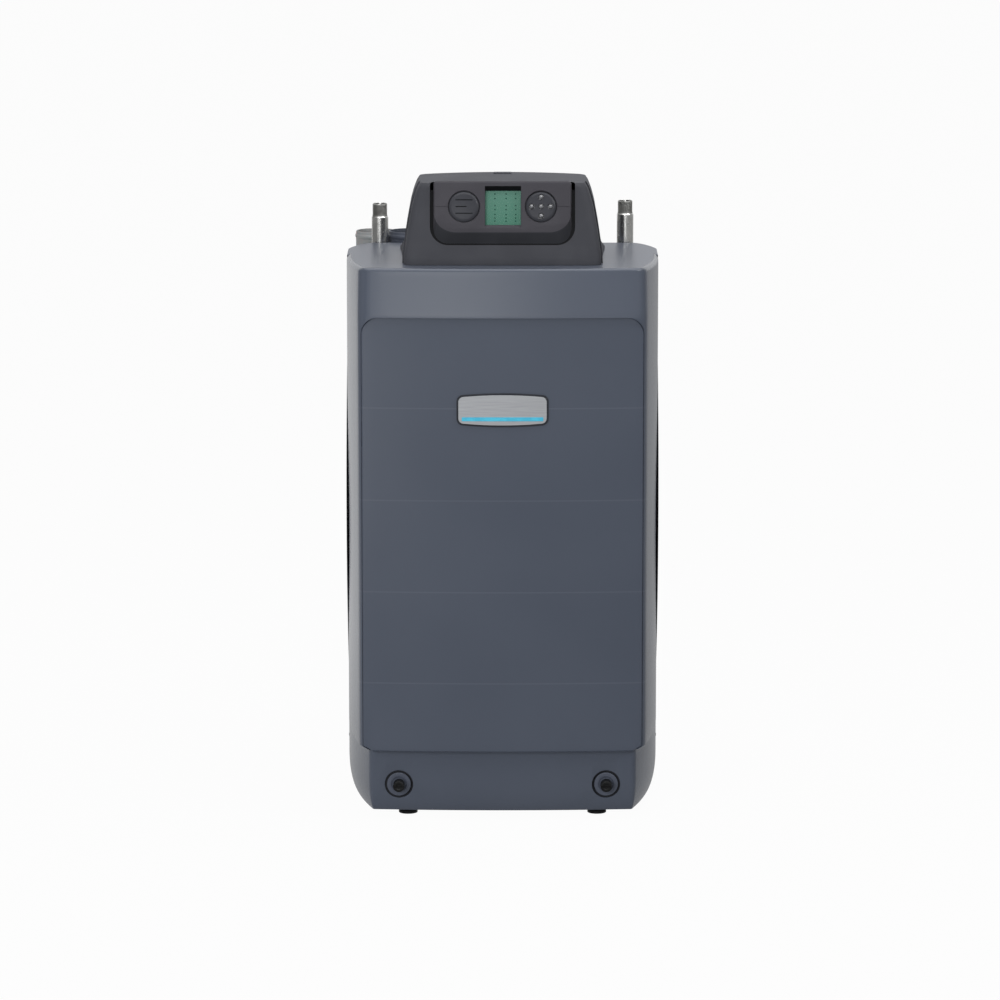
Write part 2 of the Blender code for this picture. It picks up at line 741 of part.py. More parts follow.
def cover_screws():
    top = KNOB_STANDOFF + KNOB_LENGTH
    profile = [(0, top), (KNOB_RADIUS - KNOB_CHAMFER, top), (KNOB_RADIUS, top - KNOB_CHAMFER),
               (KNOB_RADIUS, KNOB_STANDOFF), (STUD_RADIUS, KNOB_STANDOFF),
               (STUD_RADIUS, -STUD_LENGTH), (0, -STUD_LENGTH)]
    for side, sign in (("left", -1), ("right", 1)):
        place = Vector((sign * SCREW_X, cup_face_y(), SCREW_Z))
        screw = turned("cover_screw_" + side, profile, place, (math.pi / 2, 0, 0))
        y = place.y - top
        slot = block("slot_" + side, (-KNOB_RADIUS - OVERRUN, -OVERRUN, -KNOB_SLOT / 2),
                     (KNOB_RADIUS + OVERRUN, KNOB_SLOT_DEPTH, KNOB_SLOT / 2), CUTTERS,
                     (place.x, y, place.z))
        boolean(screw, slot)
        dress(screw, BLACK, 0.5)


def top_panel():
    inset = TOP_EDGE_RADIUS + TOP_FLANGE + SEAM
    outline = open_section(HALF_WIDTH - inset, TOP_HALF_WIDTH - inset, COVER_WING_Y,
                           TOP_Y + inset, COVER_WING_Y,
                           max(BROW_CORNER - inset, COVER_MIN_CORNER))
    points = [(point.x, point.y) for point in outline]
    y = COVER_WING_Y + SHUT_GAP
    narrow = HALF_WIDTH - inset
    points += [(narrow, y), (HALF_WIDTH, y), (HALF_WIDTH, SHELF_Y), (-HALF_WIDTH, SHELF_Y),
               (-HALF_WIDTH, y), (-narrow, y)]
    panel = flat_outline("top_panel", [points], SHEET, (0, 0, TOP_Z - SHEET / 2), (0, 0, 0))
    dress(panel, SLATE, 0.40)


def side_panels():
    heights = [SIDE_BOTTOM] + scallop_heights() + [TOP_Z - SHEET - GAP]
    front = [(COVER_WING_Y - scallop_at(z) + SHUT_GAP, z) for z in heights]
    high = heights[-1]
    outline = front + [(SHELF_Y, high), (SHELF_Y, SHELF_Z), (TRAY_REAR, SHELF_Z),
                       (TRAY_REAR, SIDE_BOTTOM)]
    half_length = GRIP_TUB_LENGTH / 2 + GAP
    half_height = GRIP_TUB_HEIGHT / 2 + GAP
    hole = [(GRIP_Y - half_length, GRIP_Z - half_height), (GRIP_Y + half_length, GRIP_Z - half_height),
            (GRIP_Y + half_length, GRIP_Z + half_height), (GRIP_Y - half_length, GRIP_Z + half_height)]
    for side, sign in (("left", -1), ("right", 1)):
        place = (sign * (HALF_WIDTH - SHEET / 2), 0, 0)
        panel = flat_outline(side + "_side_panel", [outline, hole], SHEET, place,
                             (math.pi / 2, 0, math.pi / 2))
        dress(panel, BLACK, 0.45)


def side_grips():
    for side, sign in (("left", -1), ("right", 1)):
        face = HALF_WIDTH + GAP
        low = (face, -GRIP_LENGTH / 2, -GRIP_HEIGHT / 2)
        high = (face + GRIP_FLANGE, GRIP_LENGTH / 2, GRIP_HEIGHT / 2)
        place = (0, GRIP_Y, GRIP_Z)
        grip = block(side + "_side_grip", low, high, PARTS, place)
        tub = block("grip_tub_" + side, (face - GRIP_TUB_DEPTH, -GRIP_TUB_LENGTH / 2, -GRIP_TUB_HEIGHT / 2),
                    (face + GRIP_FLANGE / 2, GRIP_TUB_LENGTH / 2, GRIP_TUB_HEIGHT / 2), CUTTERS, place)
        inner = Vector((0, GRIP_TUB_LENGTH / 2 - GRIP_WALL, GRIP_TUB_HEIGHT / 2 - GRIP_WALL))
        hollow = block("grip_hollow_" + side,
                       (face - GRIP_TUB_DEPTH + GRIP_WALL, -inner.y, -inner.z),
                       (face + OVERRUN, inner.y, inner.z), CUTTERS, place)
        for piece in (grip, tub, hollow):
            if sign < 0:
                piece.data.transform(Matrix.Diagonal((-1, 1, 1, 1)))
                piece.data.flip_normals()
        boolean(grip, tub, "UNION")
        boolean(grip, hollow)
        dress(grip, BLACK, 0.5)


def rear_shelf():
    wide = HALF_WIDTH - SHEET - GAP
    high = TOP_Z - SHEET - GAP
    section = [(SHELF_Y, high), (SHELF_Y, SHELF_Z), (TRAY_REAR, SHELF_Z)]
    rings = [[Vector((x, y, z)) for y, z in section] for x in (wide, -wide)]
    shelf = add_wall(loft("rear_shelf", rings), SHEET)
    holes = [(-PIPE_X, PIPE_Y, PIPE_RADIUS + GAP), (PIPE_X, PIPE_Y, PIPE_RADIUS + GAP),
             (VENT_X, VENT_Y, COLLAR_HOLE), (AIR_X, AIR_Y, COLLAR_HOLE),
             (GAS_X, GAS_Y, GAS_RADIUS + GAP), (GLAND_X, GLAND_Y, GLAND_BORE)]
    for number, (x, y, radius) in enumerate(holes):
        hole = rod("shelf_hole_%d" % number, radius, (x, y, SHELF_Z - OVERRUN),
                   (x, y, SHELF_Z + OVERRUN), CUTTERS)
        boolean(shelf, hole)
    dress(shelf, ZINC, 0.4, 0.8)


def rear_panel():
    outline = [(-TRAY_HALF_FLOOR, TRAY_FLOOR), (TRAY_HALF_FLOOR, TRAY_FLOOR), (HALF_WIDTH, SIDE_BOTTOM),
               (HALF_WIDTH, SHELF_Z), (-HALF_WIDTH, SHELF_Z), (-HALF_WIDTH, SIDE_BOTTOM)]
    place = (0, HALF_DEPTH - SHEET / 2, 0)
    panel = flat_outline("rear_panel", [outline], SHEET, place, (math.pi / 2, 0, 0))
    dress(panel, ZINC, 0.4, 0.8)


def base_tray():
    wide = HALF_WIDTH - SHEET - GAP
    section = [(wide, TRAY_TOP), (wide, TRAY_KNEE), (TRAY_HALF_FLOOR, TRAY_FLOOR),
               (-TRAY_HALF_FLOOR, TRAY_FLOOR), (-wide, TRAY_KNEE), (-wide, TRAY_TOP)]
    rings = []
    front_squeeze = (SHELL_HALF_WIDTH - SWEEP_INSET) / wide
    joggle_squeeze = (HALF_WIDTH - COVER_WALL - TRAY_JOGGLE) / wide
    stations = ((TRAY_FRONT, front_squeeze), (COVER_WING_Y - TRAY_JOGGLE, joggle_squeeze),
                (COVER_WING_Y + SHUT_GAP, 1), (TRAY_REAR, 1))
    for y, squeeze in stations:
        rings.append([Vector((x * squeeze, y, z)) for x, z in section])
    tray = add_wall(loft("base_tray", rings), SHEET)
    for number, (x, y) in enumerate(foot_places()):
        hole = rod("foot_hole_%d" % number, FOOT_STEM_RADIUS + GAP, (x, y, TRAY_FLOOR - OVERRUN),
                   (x, y, TRAY_FLOOR + OVERRUN), CUTTERS, SMALL_ROUND_STEPS)
        boolean(tray, hole)
    dress(tray, ZINC, 0.45, 0.8)


def foot_places():
    return [(sign * FOOT_X, y) for y in (FOOT_FRONT_Y, FOOT_REAR_Y) for sign in (-1, 1)]


def feet():
    shoulder = TRAY_FLOOR - GAP
    profile = [(0, FOOT_STEM_TOP), (FOOT_STEM_RADIUS, FOOT_STEM_TOP), (FOOT_STEM_RADIUS, shoulder),
               (FOOT_NUT_RADIUS, shoulder), (FOOT_NUT_RADIUS, FOOT_PAD),
               (FOOT_PAD_RADIUS - FOOT_PAD_CHAMFER, FOOT_PAD),
               (FOOT_PAD_RADIUS, FOOT_PAD - FOOT_PAD_CHAMFER), (FOOT_PAD_RADIUS, 0), (0, 0)]
    names = ("foot_front_left", "foot_front_right", "foot_rear_left", "foot_rear_right")
    for name, (x, y) in zip(names, foot_places()):
        dress(turned(name, profile, (x, y, 0), steps=SMALL_ROUND_STEPS), BLACK, 0.6)


def screw_rail():
    y = TRAY_FRONT + RAIL_SETBACK
    floor = TRAY_FLOOR + SHEET + GAP
    rail = block("screw_rail", (-RAIL_HALF_WIDTH, y, floor),
                 (RAIL_HALF_WIDTH, y + SHEET, floor + RAIL_HEIGHT))
    for side, sign in (("left", -1), ("right", 1)):
        hole = rod("rail_hole_" + side, STUD_RADIUS + STUD_CLEARANCE,
                   (sign * SCREW_X, y - OVERRUN, SCREW_Z), (sign * SCREW_X, y + OVERRUN, SCREW_Z),
                   CUTTERS, SMALL_ROUND_STEPS)
        boolean(rail, hole)
    dress(rail, ZINC, 0.45, 0.8)


# The pod's walls stand upright for a short foot and lean above it.
def lean_share(height):
    return max(height - POD_FOOT, 0) / (POD_LEAN_RISE - POD_FOOT)


def pod_front_at(height):
    lean = POD_LEAN_RUN * min(lean_share(height), 1)
    over = max(height - POD_LEAN_RISE, 0) / (POD_HEIGHT - POD_LEAN_RISE)
    return POD_FRONT_Y + lean + POD_TOP_ROUND * over


def pod_rear_at(height):
    slope = POD_REAR_RUN * min(lean_share(height), 1)
    over = max(height - POD_LEAN_RISE, 0) / (POD_HEIGHT - POD_LEAN_RISE)
    return POD_REAR_Y - slope - POD_TOP_ROUND * over


def pod_levels():
    yield 0, POD_HALF_WIDTH
    for height_share, width_share in zip(POD_HEIGHT_SHARES, POD_WIDTH_SHARES):
        yield POD_FOOT + (POD_HEIGHT - POD_FOOT) * height_share, POD_HALF_WIDTH * width_share


def pod_shut_at(height):
    return POD_FRONT_Y + POD_LEAN_RUN * lean_share(height) + POD_FRONT_DEPTH


def pod_front_housing():
    rings = []
    for height, half in pod_levels():
        edge = pod_shut_at(height)
        outline = open_section(half, half, edge, pod_front_at(height), edge, POD_CORNER, 0)
        rings.append([Vector((point.x, point.y, POD_BASE + height)) for point in outline])
    housing = smooth(loft("pod_front_housing", rings, cap_last=True))
    add_wall(housing, POD_WALL)
    notch = module_prism("module_notch", MODULE_GAP, -OVERRUN,
                         POD_FRONT_DEPTH * math.cos(POD_LEAN) + OVERRUN, CUTTERS, open_top=True)
    boolean(housing, notch)
    dress(housing, CHARCOAL, 0.5)


def pod_rear_housing():
    rings = []
    for height, half in pod_levels():
        edge = pod_shut_at(height) + SHUT_GAP / 2
        flare = POD_SKIRT * max(1 - max(height - POD_FOOT, 0) / POD_SKIRT_HEIGHT, 0)
        wide = half + POD_STEP
        outline = open_section(wide, wide + flare, edge, pod_rear_at(height), edge, POD_CORNER, 0)
        rings.append([Vector((point.x, point.y, POD_BASE + height)) for point in outline])
    housing = smooth(loft("pod_rear_housing", rings, cap_last=True))
    add_wall(housing, POD_WALL)
    rear = pod_rear_at(POD_HEIGHT) - TAB_INSET
    top = POD_BASE + POD_HEIGHT
    tab = block("lift_tab", (-TAB_HALF_WIDTH, rear - TAB_LENGTH, top - POD_WALL / 2),
                (TAB_HALF_WIDTH, rear, top + TAB_HEIGHT), CUTTERS)
    boolean(housing, tab, "UNION")
    dress(housing, CHARCOAL, 0.5)


# The module and all in it sit in a frame on the pod's leaning front face:
# local -Y points out of the face and local Z runs up it.
def face_frame():
    frame = link(bpy.data.objects.new("module_frame", None))
    frame.location = (0, pod_front_at(MODULE_RISE), POD_BASE + MODULE_RISE)
    frame.rotation_euler = (-POD_LEAN, 0, 0)
    return frame


def arc(x, z, radius, start, end):
    turns = [start + (end - start) * i / ARC_STEPS for i in range(ARC_STEPS + 1)]
    return [(x + radius * math.cos(turn), z + radius * math.sin(turn)) for turn in turns]


def module_outline(margin=0, raised=0):
    wide = MODULE_HALF_WIDTH + margin
    top = MODULE_HALF_HEIGHT + raised
    low = -MODULE_HALF_HEIGHT - margin
    big = MODULE_BOTTOM_RADIUS + margin
    small = MODULE_TOP_RADIUS
    quarter = math.pi / 2
    return (arc(wide - big, low + big, big, -quarter, 0)
            + arc(wide - small, top - small, small, 0, quarter)
            + arc(small - wide, top - small, small, quarter, 2 * quarter)
            + arc(big - wide, low + big, big, 2 * quarter, 3 * quarter))


def prism(name, outline, front, back, collection):
    bm = bmesh.new()
    face = bm.faces.new([bm.verts.new((x, front, z)) for x, z in outline])
    pushed = bmesh.ops.extrude_face_region(bm, geom=[face])
    moved = [item for item in pushed["geom"] if isinstance(item, bmesh.types.BMVert)]
    bmesh.ops.translate(bm, verts=moved, vec=(0, back - front, 0))
    bmesh.ops.recalc_face_normals(bm, faces=bm.faces)
    obj = mesh_object(name, bm, collection=collection)
    obj.parent = FRAME
    return obj


def module_prism(name, margin, front, back, collection, open_top=False):
    raised = MODULE_HALF_HEIGHT if open_top else margin
    return prism(name, module_outline(margin, raised), front, back, collection)


def framed_block(name, low, high, collection=PARTS):
    obj = block(name, low, high, collection)
    obj.parent = FRAME
    return obj


def framed_turned(name, profile, x, z, y=0, ring=False, steps=ROUND_STEPS):
    obj = turned(name, profile, (x, y, z), (math.pi / 2, 0, 0), ring, steps)
    obj.parent = FRAME
    return obj


def framed_hole(name, radius, x, z, front, back):
    hole = rod(name, radius, (x, front, z), (x, back, z), CUTTERS)
    hole.parent = FRAME
    return hole


def display_module():
    front = -MODULE_PROUD
    back = front + MODULE_DEPTH
    module = module_prism("display_module", 0, front, back, PARTS)
    flange = prism("module_flange", module_outline(MODULE_GAP + MODULE_FLANGE, -MODULE_FLANGE_DROP),
                   POD_WALL + GAP, POD_WALL + GAP + MODULE_SIDE, CUTTERS)
    boolean(module, flange, "UNION")
    hollow = module_prism("module_hollow", -MODULE_SIDE, MODULE_INNER_Y, back + OVERRUN, CUTTERS)
    chin_top = -MODULE_HALF_HEIGHT + MODULE_CHIN
    wedge = bmesh.new()
    bmesh.ops.create_cube(wedge, size=1)
    reach = 2 * MODULE_CHIN
    bmesh.ops.scale(wedge, vec=(3 * MODULE_HALF_WIDTH, reach, reach), verts=wedge.verts)
    bmesh.ops.translate(wedge, vec=(0, -reach / 2, -reach / 2), verts=wedge.verts)
    slope = math.atan2(MODULE_CHIN_SLOPE, MODULE_CHIN)
    chin = mesh_object("module_chin_cut", wedge, (0, front, chin_top), (slope, 0, 0), CUTTERS)
    chin.parent = FRAME
    boolean(module, chin)
    boolean(module, hollow)
    lcd_z = LCD_RISE
    window = framed_block("lcd_opening", (LCD_X - LCD_HALF_WIDTH, front - OVERRUN, lcd_z - LCD_HALF_HEIGHT),
                          (LCD_X + LCD_HALF_WIDTH, OVERRUN, lcd_z + LCD_HALF_HEIGHT), CUTTERS)
    boolean(module, window)
    for side, sign in (("left", -1), ("right", 1)):
        hole = framed_hole("button_hole_" + side, BUTTON_RADIUS + BUTTON_CLEARANCE,
                           sign * BUTTON_X, BUTTON_RISE, front - OVERRUN, OVERRUN)
        boolean(module, hole)
    dress(module, CHARCOAL, 0.45)


def lcd():
    wide = LCD_HALF_WIDTH + LCD_BORDER
    tall = LCD_HALF_HEIGHT + LCD_BORDER
    front = MODULE_INNER_Y + GAP
    glass = framed_block("lcd_window", (LCD_X - wide, front, LCD_RISE - tall),
                         (LCD_X + wide, front + LCD_GLASS, LCD_RISE + tall))
    dress(glass, GLASS, 0.05)
    front += LCD_GLASS + GAP
    panel = framed_block("lcd_panel", (LCD_X - wide, front, LCD_RISE - tall),
                         (LCD_X + wide, front + LCD_DEPTH, LCD_RISE + tall))
    dress(panel, LCD_GREEN, 0.3)
    front += LCD_DEPTH + GAP
    edge = MODULE_SIDE + GAP
    board = module_prism("display_board", -edge, front, front + BOARD, PARTS)
    dress(board, BOARD_GREEN, 0.5)


def menu_button():
    flange = BUTTON_RADIUS + BUTTON_FLANGE
    inner = -MODULE_INNER_Y - GAP
    face = MODULE_PROUD + BUTTON_PROUD
    profile = [(0, face), (BUTTON_RADIUS - MODULE_EDGE, face), (BUTTON_RADIUS, face - MODULE_EDGE),
               (BUTTON_RADIUS, inner), (flange, inner), (flange, inner - BUTTON_FLANGE_DEPTH),
               (0, inner - BUTTON_FLANGE_DEPTH)]
    dress(framed_turned("menu_button", profile, -BUTTON_X, BUTTON_RISE), CHARCOAL, 0.4)


def nav_places():
    return (("up", 0, 1), ("down", 0, -1), ("left", -1, 0), ("right", 1, 0), ("ok", 0, 0))


def nav_pad():
    flange = BUTTON_RADIUS + BUTTON_FLANGE
    inner = -MODULE_INNER_Y - GAP
    face = MODULE_PROUD + BUTTON_PROUD / 2
    profile = [(0, face), (BUTTON_RADIUS - MODULE_EDGE, face), (BUTTON_RADIUS, face - MODULE_EDGE),
               (BUTTON_RADIUS, inner), (flange, inner), (flange, inner - BUTTON_FLANGE_DEPTH),
               (0, inner - BUTTON_FLANGE_DEPTH)]
    pad = framed_turned("nav_pad", profile, BUTTON_X, BUTTON_RISE)
    back = inner - BUTTON_FLANGE_DEPTH
    for name, across, up in nav_places():
        x = BUTTON_X + across * NAV_PITCH
        z = BUTTON_RISE + up * NAV_PITCH
        hole = framed_hole("nav_hole_" + name, NAV_RADIUS + BUTTON_CLEARANCE, x, z,
                           -face - OVERRUN, OVERRUN)
        boolean(pad, hole)
        dome = [(NAV_RADIUS * math.sin(math.pi / 2 * i / 3), face + NAV_PROUD * math.cos(math.pi / 2 * i / 3))
                for i in range(4)]
        dome += [(NAV_RADIUS, back - GAP), (NAV_RADIUS + NAV_FLANGE, back - GAP),
                 (NAV_RADIUS + NAV_FLANGE, back - NAV_BACK), (0, back - NAV_BACK)]
        key = framed_turned("nav_" + name, dome, x, z, steps=SMALL_ROUND_STEPS)
        dress(key, CHARCOAL, 0.2)
    dress(pad, CHARCOAL, 0.45)


def nipple(name, x, y, top, radius, bore):
    low = SHELF_Z - NIPPLE_DROP
    profile = [(bore, top), (radius - NIPPLE_CHAMFER, top), (radius, top - NIPPLE_CHAMFER),
               (radius, low), (bore, low)]
    obj = turned(name, profile, (x, y, 0), ring=True, steps=ROUND_STEPS)
    return dress(obj, STEEL, 0.35, 0.9)


def water_pipes():
    nipple("supply_nipple", -PIPE_X, PIPE_Y, SUPPLY_TOP, PIPE_RADIUS, PIPE_BORE)
    nipple("return_nipple", PIPE_X, PIPE_Y, RETURN_TOP, PIPE_RADIUS, PIPE_BORE)
    nipple("gas_inlet", GAS_X, GAS_Y, GAS_TOP, GAS_RADIUS, GAS_BORE)
    low = SHELF_Z - NIPPLE_DROP - GAP
    for name, sign, z in (("supply_pipe", -1, SUPPLY_PORT_Z), ("return_pipe", 1, RETURN_PORT_Z)):
        corners = [(sign * PORT_X, HX_REAR + HX_RIB + GAP, z), (sign * PORT_X, PIPE_Y, z),
                   (sign * PIPE_X, PIPE_Y, z), (sign * PIPE_X, PIPE_Y, low)]
        dress(tube(name, corners, PIPE_RADIUS, PIPE_BEND), COPPER_RED, 0.35, 0.9)
    run_z = PLATE_TOP + GAS_RUN_RISE
    corners = [(GAS_X, VALVE_REAR + GAP, run_z), (GAS_X, GAS_Y, run_z), (GAS_X, GAS_Y, low)]
    dress(tube("gas_pipe", corners, GAS_RADIUS, GAS_BEND), STEEL, 0.45, 0.8)


def grommets():
    low = SHELF_Z + GAP
    bore = PIPE_RADIUS + GAP
    profile = [(bore, low + GROMMET), (GROMMET_RADIUS, low + GROMMET), (GROMMET_RADIUS, low), (bore, low)]
    for name, x in (("supply_grommet", -PIPE_X), ("return_grommet", PIPE_X)):
        dress(turned(name, profile, (x, PIPE_Y, 0), ring=True, steps=ROUND_STEPS), BLACK, 0.7)


def collars():
    low = SHELF_Z + GAP
    places = (("vent_collar", VENT_X, VENT_Y, VENT_TOP, PALE),
              ("air_inlet_collar", AIR_X, AIR_Y, AIR_TOP, SLATE))
    for name, x, y, top, colour in places:
        profile = [(COLLAR_BORE, top), (COLLAR_RADIUS, top), (COLLAR_RADIUS, low),
                   (COLLAR_STOP_BORE, low), (COLLAR_STOP_BORE, low + COLLAR_STOP),
                   (COLLAR_BORE, low + COLLAR_STOP)]
        dress(turned(name, profile, (x, y, 0), ring=True), colour, 0.5)


def cable_gland():
    low = SHELF_Z + GAP
    nut = low + GLAND_NUT
    cap = nut + GLAND_CAP
    waist = (GLAND_RADIUS + GLAND_BORE) / 2
    profile = [(GLAND_BORE, cap), (waist, cap), (GLAND_RADIUS, nut), (GLAND_RADIUS, low),
               (GLAND_BORE, low)]
    dress(turned("cable_gland", profile, (GLAND_X, GLAND_Y, 0), ring=True, steps=SMALL_ROUND_STEPS),
          BLACK, 0.5)


def heat_exchanger():
    outline = []
    wide = HX_HALF_WIDTH
    pitch = 2 * wide / HX_RIBS
    half = HX_RIB_WIDTH / 2
    for sign, y in ((1, HX_FRONT), (-1, HX_REAR)):
        outline.append((-sign * wide, y))
        for i in range(HX_RIBS):
            middle = -wide + pitch * (i + 0.5)
            rib = ((middle - half, 0), (middle - half, HX_RIB), (middle + half, HX_RIB), (middle + half, 0))
            outline += [(sign * x, y - sign * out) for x, out in rib]
        outline.append((sign * wide, y))
    inner_x = wide - HX_WALL
    hole = [(-inner_x, HX_FRONT + HX_WALL), (inner_x, HX_FRONT + HX_WALL),
            (inner_x, HX_REAR - HX_WALL), (-inner_x, HX_REAR - HX_WALL)]
    place = (0, 0, (HX_BOTTOM + HX_TOP) / 2)
    body = flat_outline("heat_exchanger", [outline, hole], HX_TOP - HX_BOTTOM, place, (0, 0, 0))
    dress(body, CAST, 0.6, 0.9)
    wide += PLATE_OVERHANG
    plate = block("burner_plate", (-wide, HX_FRONT - PLATE_OVERHANG, PLATE_Z),
                  (wide, HX_REAR + PLATE_OVERHANG, PLATE_TOP))
    opening = neck_block("burner_opening", NECK_WALL, PLATE_Z - OVERRUN, PLATE_TOP + OVERRUN)
    boolean(plate, opening)
    dress(plate, CAST, 0.5, 0.9)


def flue_sump():
    high = SUMP_BOTTOM + SUMP_HEIGHT
    sump = block("flue_sump", (-HX_HALF_WIDTH, HX_FRONT, SUMP_BOTTOM), (HX_HALF_WIDTH, HX_REAR, high))
    inner = HX_HALF_WIDTH - SUMP_WALL
    hollow = block("sump_hollow", (-inner, HX_FRONT + SUMP_WALL, SUMP_BOTTOM + SUMP_WALL),
                   (inner, HX_REAR - SUMP_WALL, high + OVERRUN), CUTTERS)
    boolean(sump, hollow)
    z = SUMP_BOTTOM + FLUE_PORT_RISE
    port = rod("flue_port", FLUE_RADIUS - SUMP_WALL, (-FLUE_PORT_X, HX_REAR - OVERRUN, z),
               (-FLUE_PORT_X, HX_REAR + OVERRUN, z), CUTTERS)
    boolean(sump, port)
    dress(sump, CAST, 0.6, 0.9)
    corners = [(-FLUE_PORT_X, HX_REAR + GAP, z), (-FLUE_PORT_X, VENT_Y, z),
               (VENT_X, VENT_Y, z), (VENT_X, VENT_Y, SHELF_UNDER)]
    dress(tube("flue_pipe", corners, FLUE_RADIUS, FLUE_BEND), PALE, 0.5)


# A folded frame that lifts the heat exchanger off the tray.
def hx_stand():
    low = TRAY_FLOOR + SHEET + GAP
    height = SUMP_BOTTOM - GAP - low
    outline = [(-STAND_X, HX_FRONT), (STAND_X, HX_FRONT), (STAND_X, HX_REAR), (-STAND_X, HX_REAR)]
    inner = STAND_X - SHEET
    hole = [(-inner, HX_FRONT + SHEET), (inner, HX_FRONT + SHEET),
            (inner, HX_REAR - SHEET), (-inner, HX_REAR - SHEET)]
    stand = flat_outline("hx_stand", [outline, hole], height, (0, 0, low + height / 2), (0, 0, 0))
    dress(stand, ZINC, 0.45, 0.8)


# The square outlet under the blower, or the hollow in it.
def neck_block(name, inset, low, high):
    wide = NECK_HALF_WIDTH - inset
    deep = NECK_HALF_DEPTH - inset
    return block(name, (BLOWER_X - wide, BLOWER_Y - deep, low), (BLOWER_X + wide, BLOWER_Y + deep, high),
                 CUTTERS)


def blower():
    half = BLOWER_DEPTH / 2
    inner = BLOWER_RADIUS - BLOWER_WALL
    inside = half - BLOWER_WALL
    shaft_hole = SHAFT_RADIUS + SHAFT_CLEARANCE
    profile = [(BLOWER_INLET, half), (BLOWER_RADIUS, half), (BLOWER_RADIUS, -half), (shaft_hole, -half),
               (shaft_hole, -inside), (inner, -inside), (inner, inside), (BLOWER_INLET, inside)]
    place = (BLOWER_X, BLOWER_Y, BLOWER_Z)
    housing = turned("blower_housing", profile, place, (math.pi / 2, 0, 0), ring=True)
    low = PLATE_TOP + GAP
    high = BLOWER_Z - BLOWER_RADIUS + NECK_SINK
    neck = neck_block("blower_neck", 0, low, high)
    duct = neck_block("blower_duct", NECK_WALL, low - OVERRUN, high + OVERRUN)
    sweep = rod("blower_bore", inner, (BLOWER_X, BLOWER_Y - inside, BLOWER_Z),
                (BLOWER_X, BLOWER_Y + inside, BLOWER_Z), CUTTERS)
    boolean(housing, neck, "UNION")
    boolean(housing, duct)
    boolean(housing, sweep)
    dress(housing, CAST, 0.55, 0.9)
    deep = -SHAFT_IN_MOTOR - SHAFT_CLEARANCE
    profile = [(0, deep), (shaft_hole, deep), (shaft_hole, 0), (MOTOR_RADIUS, 0),
               (MOTOR_RADIUS, MOTOR_CHAMFER - MOTOR_LENGTH),
               (MOTOR_RADIUS - MOTOR_CHAMFER, -MOTOR_LENGTH), (0, -MOTOR_LENGTH)]
    place = (BLOWER_X, BLOWER_Y + half + GAP, BLOWER_Z)
    dress(turned("blower_motor", profile, place, (math.pi / 2, 0, 0)), BLACK, 0.5)
    impeller()


def impeller():
    outline = []
    for i in range(IMPELLER_BLADES):
        start = math.tau * i / IMPELLER_BLADES
        width = math.tau / IMPELLER_BLADES * BLADE_SHARE
        for radius, turn in ((IMPELLER_HUB, start), (IMPELLER_RADIUS, start),
                             (IMPELLER_RADIUS, start + width / 2), (IMPELLER_HUB, start + width)):
            outline.append((radius * math.cos(turn), radius * math.sin(turn)))
    bm = bmesh.new()
    half = IMPELLER_WIDTH / 2
    face = bm.faces.new([bm.verts.new((x, -half, z)) for x, z in outline])
    pushed = bmesh.ops.extrude_face_region(bm, geom=[face])
    moved = [item for item in pushed["geom"] if isinstance(item, bmesh.types.BMVert)]
    bmesh.ops.translate(bm, verts=moved, vec=(0, IMPELLER_WIDTH, 0))
    bmesh.ops.recalc_face_normals(bm, faces=bm.faces)
    place = (BLOWER_X, BLOWER_Y, BLOWER_Z)
    wheel = mesh_object("blower_impeller", bm, place)
    end = BLOWER_Y + BLOWER_DEPTH / 2 + SHAFT_IN_MOTOR
    shaft = rod("impeller_shaft", SHAFT_RADIUS, (BLOWER_X, BLOWER_Y, BLOWER_Z), (BLOWER_X, end, BLOWER_Z),
                CUTTERS, SMALL_ROUND_STEPS)
    boolean(wheel, shaft, "UNION")
    dress(wheel, CAST, 0.5, 0.9)


def air_duct():
    start = BLOWER_Y - BLOWER_DEPTH / 2 - GAP
    corners = [(BLOWER_X, start, BLOWER_Z), (BLOWER_X, DUCT_FRONT_Y, BLOWER_Z),
               (AIR_X, DUCT_FRONT_Y, DUCT_RUN_Z), (AIR_X, AIR_Y, DUCT_RUN_Z),
               (AIR_X, AIR_Y, SHELF_UNDER)]
    dress(tube("air_intake_duct", corners, DUCT_RADIUS, DUCT_BEND), BLACK, 0.6)


def gas_valve():
    low = PLATE_TOP + GAP
    valve = block("gas_valve", (GAS_X - VALVE_HALF_WIDTH, VALVE_FRONT, low),
                  (GAS_X + VALVE_HALF_WIDTH, VALVE_REAR, low + VALVE_HEIGHT))
    dress(add_bevel(valve, VALVE_EDGE), CAST, 0.5, 0.9)


def igniter():
    low = PLATE_TOP + GAP
    top = low + IGNITER_LENGTH
    shoulder = low + IGNITER_FLANGE / 2
    profile = [(0, top), (IGNITER_TIP, top), (IGNITER_TIP, top - IGNITER_FLANGE),
               (IGNITER_RADIUS, top - IGNITER_FLANGE), (IGNITER_RADIUS, shoulder),
               (IGNITER_FLANGE, shoulder), (IGNITER_FLANGE, low), (0, low)]
    obj = turned("igniter", profile, (IGNITER_X, IGNITER_Y, 0), steps=SMALL_ROUND_STEPS)
    dress(obj, CERAMIC, 0.4)


